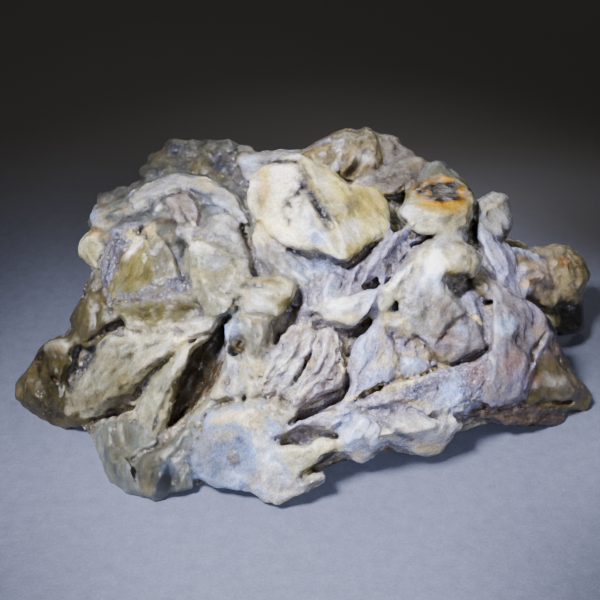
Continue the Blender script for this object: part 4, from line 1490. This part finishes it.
def stained(tone, x, y, front, points):
    """The tone with the stains laid over it, where it faces the viewer."""
    ragged = RAGGED * rough_noise(points / RAGGED_LENGTH, 90, 3)
    depth = points @ TOWARDS / PIXEL
    for sx, sy, rx, ry, tilt, paint, strength in STAINS:
        reach = 1.6 * max(rx, ry)
        near = np.nonzero((np.abs(x - sx) < reach) & (np.abs(y - sy) < reach))[0]
        turn = math.radians(tilt)
        dx, dy = x[near] - sx, sy - y[near]
        along = dx * math.cos(turn) + dy * math.sin(turn)
        across = dy * math.cos(turn) - dx * math.sin(turn)
        away = np.hypot(along / rx, across / ry) - 1
        width = SOFT_EDGE if paint in SOFT_PAINTS else SHARP_EDGE
        edge = 0.5 - (away * min(rx, ry) + ragged[near] * min(1, rx / 6)) / width
        nearest = np.max(depth[near][away < 0], initial=-1000)
        behind = (nearest - depth[near] - 1.5 * max(rx, ry) - STAIN_DEPTH) / 8
        share = (strength * np.clip(edge, 0, 1) * np.clip(1 - behind, 0, 1) * front[near])[:, None]
        tone[near] = tone[near] * (1 - share) + colour(PAINTS[paint]) * share
    for paint, strength, line in VEINS:
        away, wide = distance_to_line(x + ragged, y + ragged, line, in_steps=True)
        share = (strength * np.clip(0.7 - (away - wide) / VEIN_EDGE, 0, 1) * front)[:, None]
        share *= np.clip(0.9 + ragged, 0.2, 1)[:, None]
        tone = tone * (1 - share) + colour(PAINTS[paint]) * share
    return tone


def shaded(tone, x, y, front):
    """The tone, lighter or darker by the broad shades, where it faces the viewer."""
    stops = np.zeros(len(x))
    for sx, sy, rx, ry, step in SHADES:
        stops += step * np.exp(-((x - sx) / rx) ** 2 - ((y - sy) / ry) ** 2)
    return tone * (2 ** (stops * front))[:, None]


def form_of(points, block):
    """The number of the form nearest to each point."""
    tree = BVHTree.FromBMesh(block.shape)
    faces = block.shape.faces
    faces.ensure_lookup_table()
    of_face = [face[block.of_face] for face in faces]
    return np.array([of_face[tree.find_nearest(Vector(p))[2]] for p in points])


def carried_over(cut_points, sunk, points, reach):
    """How deep each point lies in a crevice, from the nearest point that was pushed in."""
    tree = kdtree.KDTree(int(np.sum(sunk > 0.02)))
    for i in np.nonzero(sunk > 0.02)[0]:
        tree.insert(cut_points[i], int(i))
    tree.balance()
    found = [tree.find(p) for p in points]
    return np.array([sunk[i] if away < reach else 0.0 for _, i, away in found])


def sculpt():
    """The finished skin, dense, with the looks of each of its points."""
    block = block_out()
    raw = bpy.data.meshes.new("forms")
    block.shape.to_mesh(raw)
    first = remeshed(raw, BLOCK_VOXEL)
    cut_points, sunk = cut_crevices(positions(first), normals(first) @ TOWARDS)
    set_positions(first, cut_points)
    skin = remeshed(first, SKIN_VOXEL)

    points = positions(skin)
    ends = edges(skin)
    hidden = carried_over(cut_points, sunk, points, 0.001)
    hidden = spread_out(hidden, ends, 2)
    strayed = 0.0016 * np.stack([rough_noise(points / 0.003, 50 + i, 2) for i in range(3)], 1)
    forms = form_of(points + strayed, block)
    block.shape.free()
    grains = np.array([grain for _, grain in block.forms])[forms]
    table = np.array([list(colour(LOOKS[look][0])) + list(colour(LOOKS[look][1]))
                      + list(LOOKS[look][2:]) for look, _ in block.forms])[forms]
    striae, grit, polish = table[:, 6], table[:, 7], table[:, 8]

    points = warped(points)
    set_positions(skin, points)
    out = normals(skin)

    # The hollows between the forms, which hold grit.
    calm = spread_out(points, ends, 60)
    hollow = np.sum((calm - points) * out, 1)
    between = np.clip(hollow / 0.0007, -1, 1.5)
    filled = HOLLOW_FILL * np.clip(hollow, 0, 0.002) * np.clip(1 - 3 * hidden, 0, 1)
    points = points + out * filled[:, None]
    crust = rough_noise(points / 0.004, 60, 3)
    gritty = np.clip((between + 0.45 * crust - 0.6) * 1.8, 0, 1)
    grit = np.clip(np.maximum(grit, gritty), 0, 1)
    polish = polish * (1 - 0.5 * gritty)

    # Layers: splinters and ridges that run along the grain of each form.
    across = np.cross(grains, TOWARDS)
    across /= np.linalg.norm(across, axis=1)[:, None] + 1e-9
    offset = forms * 7.31
    bend = 0.0012 * rough_noise(points / 0.009, 31, 2)
    u = np.sum(points * across, 1) + bend
    v = np.sum(points * grains, 1)
    w = points @ TOWARDS
    smooth = 1 - striae
    coarse, chip_a = splinters(
        np.stack([u / (0.0030 + 0.004 * smooth) + offset, v / (0.017 - 0.008 * smooth),
                  w / 0.006], 1), 200, 0.0010, 0.0016, 0.0003)
    fine, chip_b = splinters(
        np.stack([u / (0.0015 + 0.0015 * smooth) + offset, v / (0.009 - 0.005 * smooth),
                  w / 0.003], 1), 300, 0.0005, 0.0008, 0.0002)
    layers = 1 - np.abs(noise(np.stack([u / 0.0018 + offset, v / 0.014, w / 0.004], 1), 3)) * 2
    rough = rough_noise(points / 0.0022, 5, 3)
    chips = np.abs(noise(points / 0.0034, 8))
    seen = np.clip(1.3 - hidden * 2, 0, 1)
    move = ((0.10 + 0.5 * striae) * coarse + (0.05 + 0.55 * striae) * fine
            + striae * 0.0002 * layers
            + 0.0003 * grit * rough + 0.00008 * rough - 0.0003 * grit * chips)
    points = points + out * (move * seen)[:, None]
    set_positions(skin, points)

    # Hollows and ridges at two sizes.
    calm = spread_out(points, ends, 8)
    small = np.sum((calm - points) * normals(skin), 1) / 0.00022
    calmer = spread_out(calm, ends, 40)
    large = np.sum((calmer - points) * normals(skin), 1) / 0.0008

    # Colour.
    main, second = table[:, 0:3], table[:, 3:6]
    mottle = rough_noise(points / 0.005 + offset[:, None], 21, 3)
    streak = noise(np.stack([u / 0.0012, v / 0.012, offset], 1), 22)
    share = np.clip(0.5 + 0.6 * mottle + 0.5 * striae * streak + 0.5 * (chip_a - 0.5), 0, 1)[:, None]
    tone = main * (1 - share) + second * share
    crusted = 0.75 * gritty[:, None]
    tone = tone * (1 - crusted) + colour(LOOKS["lavender"][1]) * crusted
    tone = spread_out(tone, ends, 3)
    x, y, _ = to_photo(points)
    front = np.clip(out @ TOWARDS * 3 + 0.6, 0, 1)
    tone = shaded(stained(tone, x, y, front, points), x, y, front)
    light = 1 - 0.22 * np.clip(small, 0, 1.5) - 0.12 * np.clip(large, 0, 1.5)
    light += 0.25 * np.clip(-small, 0, 1) + 0.1 * np.clip(-large, 0, 1)
    warmth = (0.5 * rough_noise(points / 0.0065, 41, 2) + 0.6 * rough_noise(points / 0.0022, 43, 2)
              + 0.5 * np.clip(large, -1, 1.2) + 0.4 * streak * striae)
    tone = tone * np.exp(warmth[:, None] * np.array(WARM_SHIFT))
    light = np.clip(light, 0.12, 2) * (0.82 + 0.18 * chip_a + 0.18 * chip_b)
    tone = tone * light[:, None]
    for half, (paint, full) in enumerate(zip(CUT_PAINTS, CUT_SHARES)):
        share = np.clip(hidden * 2 - half, 0, 1)[:, None] * full
        tone = tone * (1 - share) + colour(PAINTS[paint]) * share
    grain_place = np.stack([u + offset * 0.01, v, w], 1)
    finish = np.stack([grit, polish, hidden, striae], 1)
    return skin, points, tone, grain_place, finish


def lightened(skin):
    """The skin with fewer triangles, cut off flat at the ground."""
    holder = bpy.data.objects.new("dense stone", skin)
    bpy.context.scene.collection.objects.link(holder)
    thinner = holder.modifiers.new("thin out", "DECIMATE")
    thinner.ratio = TRIANGLES_KEPT / (2 * len(skin.polygons))
    thinner.use_collapse_triangulate = True
    thinned = np.clip(0.5 - 2 * (normals(skin) @ TOWARDS), FRONT_THINNED, 1)
    group = holder.vertex_groups.new(name="seen less")
    for level in range(1, 11):
        inside = np.nonzero(np.round(thinned * 10) == level)[0]
        group.add(inside.tolist(), level / 10, "REPLACE")
    thinner.vertex_group = group.name
    thinner.vertex_group_factor = FRONT_SPARED
    graph = bpy.context.evaluated_depsgraph_get()
    light = bpy.data.meshes.new_from_object(holder.evaluated_get(graph))
    bpy.data.objects.remove(holder)
    shape = bmesh.new()
    shape.from_mesh(light)
    geometry = shape.verts[:] + shape.edges[:] + shape.faces[:]
    made = bmesh.ops.bisect_plane(
        shape, geom=geometry, plane_co=(0, 0, 0), plane_no=(0, 0, 1), clear_inner=True)
    rim = [e for e in made["geom_cut"] if isinstance(e, bmesh.types.BMEdge)]
    base = bmesh.ops.holes_fill(shape, edges=rim, sides=0)
    bmesh.ops.triangulate(shape, faces=base["faces"])
    bmesh.ops.recalc_face_normals(shape, faces=shape.faces)
    shape.to_mesh(light)
    shape.free()
    return light


def make_stone():
    skin, points, tone, grain_place, finish = sculpt()
    light = lightened(skin)
    tree = kdtree.KDTree(len(points))
    for i, point in enumerate(points):
        tree.insert(point, i)
    tree.balance()
    nearest = np.array([tree.find(v.co)[1] for v in light.vertices])
    add_attribute(light, "tone", "FLOAT_COLOR", np.c_[tone, np.ones(len(tone))][nearest])
    add_attribute(light, "grain", "FLOAT_VECTOR", grain_place[nearest])
    add_attribute(light, "finish", "FLOAT_COLOR", finish[nearest])
    light.name = "natural stone"
    stone = bpy.data.objects.new("natural_stone", light)
    bpy.context.scene.collection.objects.link(stone)
    light.shade_smooth()
    light.set_sharp_from_angle(angle=math.radians(50))
    return stone


def add_attribute(mesh, name, kind, values):
    layer = mesh.attributes.new(name, kind, "POINT")
    slot = "color" if kind == "FLOAT_COLOR" else "vector"
    layer.data.foreach_set(slot, values.astype(np.float32).ravel())


class Nodes:
    """Small helper that adds nodes to a material and links them."""

    def __init__(self, name):
        self.material = bpy.data.materials.new(name)
        self.material.use_nodes = True
        self.tree = self.material.node_tree
        self.shader = self.tree.nodes["Principled BSDF"]

    def add(self, kind, inputs=None, **settings):
        node = self.tree.nodes.new(kind)
        for key, value in settings.items():
            setattr(node, key, value)
        for key, value in (inputs or {}).items():
            self.feed(node.inputs[key], value)
        return node

    def feed(self, socket, value):
        if isinstance(value, bpy.types.NodeSocket):
            self.tree.links.new(value, socket)
        else:
            socket.default_value = value

    def math(self, operation, a, b=0.0, c=0.0, clamp=False):
        node = self.add("ShaderNodeMath", {0: a, 1: b, 2: c}, operation=operation, use_clamp=clamp)
        return node.outputs[0]

    def vectors(self, operation, a, b):
        return self.add("ShaderNodeVectorMath", {0: a, 1: b}, operation=operation)

    def mix(self, factor, a, b, blend="MIX"):
        node = self.add("ShaderNodeMix", data_type="RGBA", blend_type=blend)
        self.feed(node.inputs[0], factor)
        self.feed(node.inputs[6], a)
        self.feed(node.inputs[7], b)
        return node.outputs[2]

    def noise(self, vector, scale, detail=2.0, roughness=0.5):
        node = self.add("ShaderNodeTexNoise", {
            "Vector": vector, "Scale": scale, "Detail": detail, "Roughness": roughness})
        return node.outputs["Fac"]

    def ramp(self, value, low, high):
        node = self.add("ShaderNodeMapRange", {
            "Value": value, "From Min": low, "From Max": high}, interpolation_type="SMOOTHSTEP")
        return node.outputs["Result"]


def make_stone_material():
    m = Nodes("chalcedony")
    tone = m.add("ShaderNodeAttribute", attribute_name="tone").outputs["Color"]
    grain = m.add("ShaderNodeAttribute", attribute_name="grain").outputs["Vector"]
    finish = m.add("ShaderNodeAttribute", attribute_name="finish")
    parts = m.add("ShaderNodeSeparateColor", {"Color": finish.outputs["Color"]}).outputs
    grit, polish, deep, striae = parts[0], parts[1], parts[2], finish.outputs["Alpha"]
    here = m.add("ShaderNodeTexCoord").outputs["Object"]

    layered = m.vectors("MULTIPLY", grain, DRAWN_OUT)
    streaks = m.noise(layered.outputs[0], 1100, 6, 0.65)
    mottle = m.noise(here, 420, 8, 0.72)
    patches = m.noise(here, 150, 4, 0.6)
    specks = m.noise(here, 1500, 4, 0.7)
    crystals = m.add("ShaderNodeTexVoronoi", {"Vector": here, "Scale": 1500.0})
    tint = m.add("ShaderNodeSeparateColor", {"Color": crystals.outputs["Color"]}).outputs

    chips = m.add("ShaderNodeTexVoronoi", {"Vector": here, "Scale": 650.0})
    from_middle = m.vectors("SUBTRACT", here, chips.outputs["Position"])
    lean = m.vectors("SUBTRACT", chips.outputs["Color"], (0.5, 0.5, 0.5))
    tilted = m.vectors("DOT_PRODUCT", from_middle.outputs[0], lean.outputs[0]).outputs["Value"]

    shade = m.math("ADD", m.math("MULTIPLY", mottle, 1.3), 0.35)
    facets = m.math("MULTIPLY_ADD", m.math("SUBTRACT", tint[0], 0.5),
                    m.math("MULTIPLY_ADD", grit, 0.3, 0.05), 1.0)
    shade = m.math("MULTIPLY", shade, facets)
    dust = m.math("MULTIPLY_ADD", m.noise(here, 2400, 2, 0.6), 1.8, 0.1)
    shade = m.math("MULTIPLY", shade, dust)
    base = m.mix(1.0, tone, m.add("ShaderNodeCombineColor", {0: shade, 1: shade, 2: shade}).outputs[0],
                 "MULTIPLY")
    cast = m.mix(m.ramp(m.noise(here, 800, 3, 0.6), 0.35, 0.65), COOL_CAST, WARM_CAST)
    base = m.mix(1.0, base, cast, "MULTIPLY")
    open_to_view = m.math("SUBTRACT", 1.0, deep, clamp=True)
    lined = m.math("MULTIPLY", m.math("MULTIPLY_ADD", striae, 0.4, 0.22), open_to_view)
    dark_lines = m.math("MULTIPLY", m.ramp(streaks, 0.54, 0.60), lined)
    base = m.mix(dark_lines, base, m.mix(1.0, base, DARK_LINES, "MULTIPLY"))
    pale_lines = m.math("MULTIPLY", m.ramp(streaks, 0.44, 0.39), m.math("MULTIPLY", lined, 0.4))
    base = m.mix(pale_lines, base, m.mix(1.0, base, PALE_LINES, "ADD"))
    clustered = m.math("MULTIPLY", m.ramp(patches, 0.52, 0.66), 0.5)
    clustered = m.math("MULTIPLY", m.math("MAXIMUM", clustered, grit), open_to_view)
    flecks = m.math("MULTIPLY", m.ramp(specks, 0.56, 0.64), m.math("MULTIPLY", clustered, 0.8))
    base = m.mix(flecks, base, FLECKS)
    sparkle = m.math("MULTIPLY", m.ramp(tint[1], 0.88, 0.93),
                     m.math("MULTIPLY", m.math("MULTIPLY", grit, 0.25), open_to_view))
    base = m.mix(sparkle, base, SPARKLES)
    m.feed(m.shader.inputs["Base Color"], base)

    wet = m.math("MULTIPLY_ADD", m.ramp(m.noise(here, 500, 3), 0.35, 0.65), -0.14, 0.44)
    rough = m.math("SUBTRACT", wet, m.math("MULTIPLY", polish, 0.24), clamp=True)
    m.feed(m.shader.inputs["Roughness"], rough)
    m.shader.inputs["Subsurface Weight"].default_value = 0.5
    m.shader.inputs["Subsurface Radius"].default_value = (1.0, 0.8, 0.4)
    m.shader.inputs["Subsurface Scale"].default_value = 0.002
    m.shader.inputs["Specular IOR Level"].default_value = 0.5

    height = m.math("MULTIPLY", streaks, m.math("MULTIPLY_ADD", striae, -0.9, -0.4))
    height = m.math("ADD", height, m.math("MULTIPLY", mottle, 0.35))
    height = m.math("ADD", height, m.math("MULTIPLY", crystals.outputs["Distance"],
                                          m.math("MULTIPLY_ADD", grit, -0.5, -0.02)))
    height = m.math("SUBTRACT", height, m.math("MULTIPLY", flecks, 0.5))
    height = m.math("ADD", height, m.math("MULTIPLY", tilted, m.math("MULTIPLY_ADD", grit, 350, 260)))
    bump = m.add("ShaderNodeBump", {"Height": height, "Strength": 0.7, "Distance": 0.0006})
    m.feed(m.shader.inputs["Normal"], bump.outputs[0])
    return m.material


def make_floor():
    """A pale cloth, which turns to a dull dark ground far behind the stone."""
    bpy.ops.mesh.primitive_plane_add(size=FLOOR_SIZE, location=(0, FLOOR_MIDDLE, 0))
    floor = bpy.context.active_object
    floor.name = "floor"
    m = Nodes("pale floor")
    here = m.add("ShaderNodeTexCoord").outputs["Object"]
    weave = m.noise(here, 1400, 3, 0.7)
    patches = m.noise(here, 260, 4, 0.7)
    shade = m.math("MULTIPLY_ADD", weave, 0.9, 0.55)
    shade = m.math("MULTIPLY", shade, m.math("MULTIPLY_ADD", patches, 0.7, 0.65))
    worn = m.add("ShaderNodeCombineColor", {0: shade, 1: shade, 2: shade}).outputs[0]
    base = m.mix(1.0, CLOTH, worn, "MULTIPLY")
    for x, y, radius, dimmed in FLOOR_SHADES:
        away = m.vectors("DISTANCE", here, (x, y - FLOOR_MIDDLE, 0.0))
        share = m.math("MULTIPLY", m.ramp(away.outputs["Value"], radius, 0.0), dimmed)
        base = m.mix(share, base, (0.0, 0.0, 0.0, 1.0))
    far = m.add("ShaderNodeSeparateXYZ", {0: here}).outputs[1]
    bare = m.ramp(far, GROUND_FROM - FLOOR_MIDDLE, GROUND_FULL - FLOOR_MIDDLE)
    base = m.mix(bare, base, GROUND)
    m.feed(m.shader.inputs["Base Color"], base)
    m.shader.inputs["Roughness"].default_value = 0.9
    bump = m.add("ShaderNodeBump", {"Height": weave, "Strength": 0.4, "Distance": 0.0004})
    m.feed(m.shader.inputs["Normal"], bump.outputs[0])
    floor.data.materials.append(m.material)


def make_lamp(name, place_at, aim, energy, size, angle, tint):
    data = bpy.data.lights.new(name, "SPOT")
    data.energy = energy
    data.color = tint
    data.shadow_soft_size = size
    data.spot_size = math.radians(angle)
    data.spot_blend = 1.0
    light = bpy.data.objects.new(name, data)
    light.location = place_at
    light.rotation_euler = (Vector(aim) - Vector(place_at)).to_track_quat("-Z", "Y").to_euler()
    bpy.context.scene.collection.objects.link(light)


def make_lights():
    for name, lamp in LAMPS.items():
        make_lamp(name, *lamp)
    world = bpy.context.scene.world or bpy.data.worlds.new("world")
    bpy.context.scene.world = world
    world.use_nodes = True
    world.node_tree.nodes["Background"].inputs["Color"].default_value = AIR_TINT
    world.node_tree.nodes["Background"].inputs["Strength"].default_value = AIR_STRENGTH


def make_camera():
    data = bpy.data.cameras.new("camera")
    data.lens = 64
    data.sensor_width = 36
    data.clip_start = 0.01
    camera = bpy.data.objects.new("camera", data)
    camera.location = LOOKED_AT + Vector(TOWARDS) * VIEW_DISTANCE
    camera.rotation_euler = Vector(-TOWARDS).to_track_quat("-Z", "Y").to_euler()
    bpy.context.scene.collection.objects.link(camera)
    bpy.context.scene.camera = camera


def main():
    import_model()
    stone = make_stone()
    stone.data.materials.append(make_stone_material())
    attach(stone, "root")
    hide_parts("stone")
    make_floor()
    make_lights()
    make_camera()
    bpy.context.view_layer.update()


main()
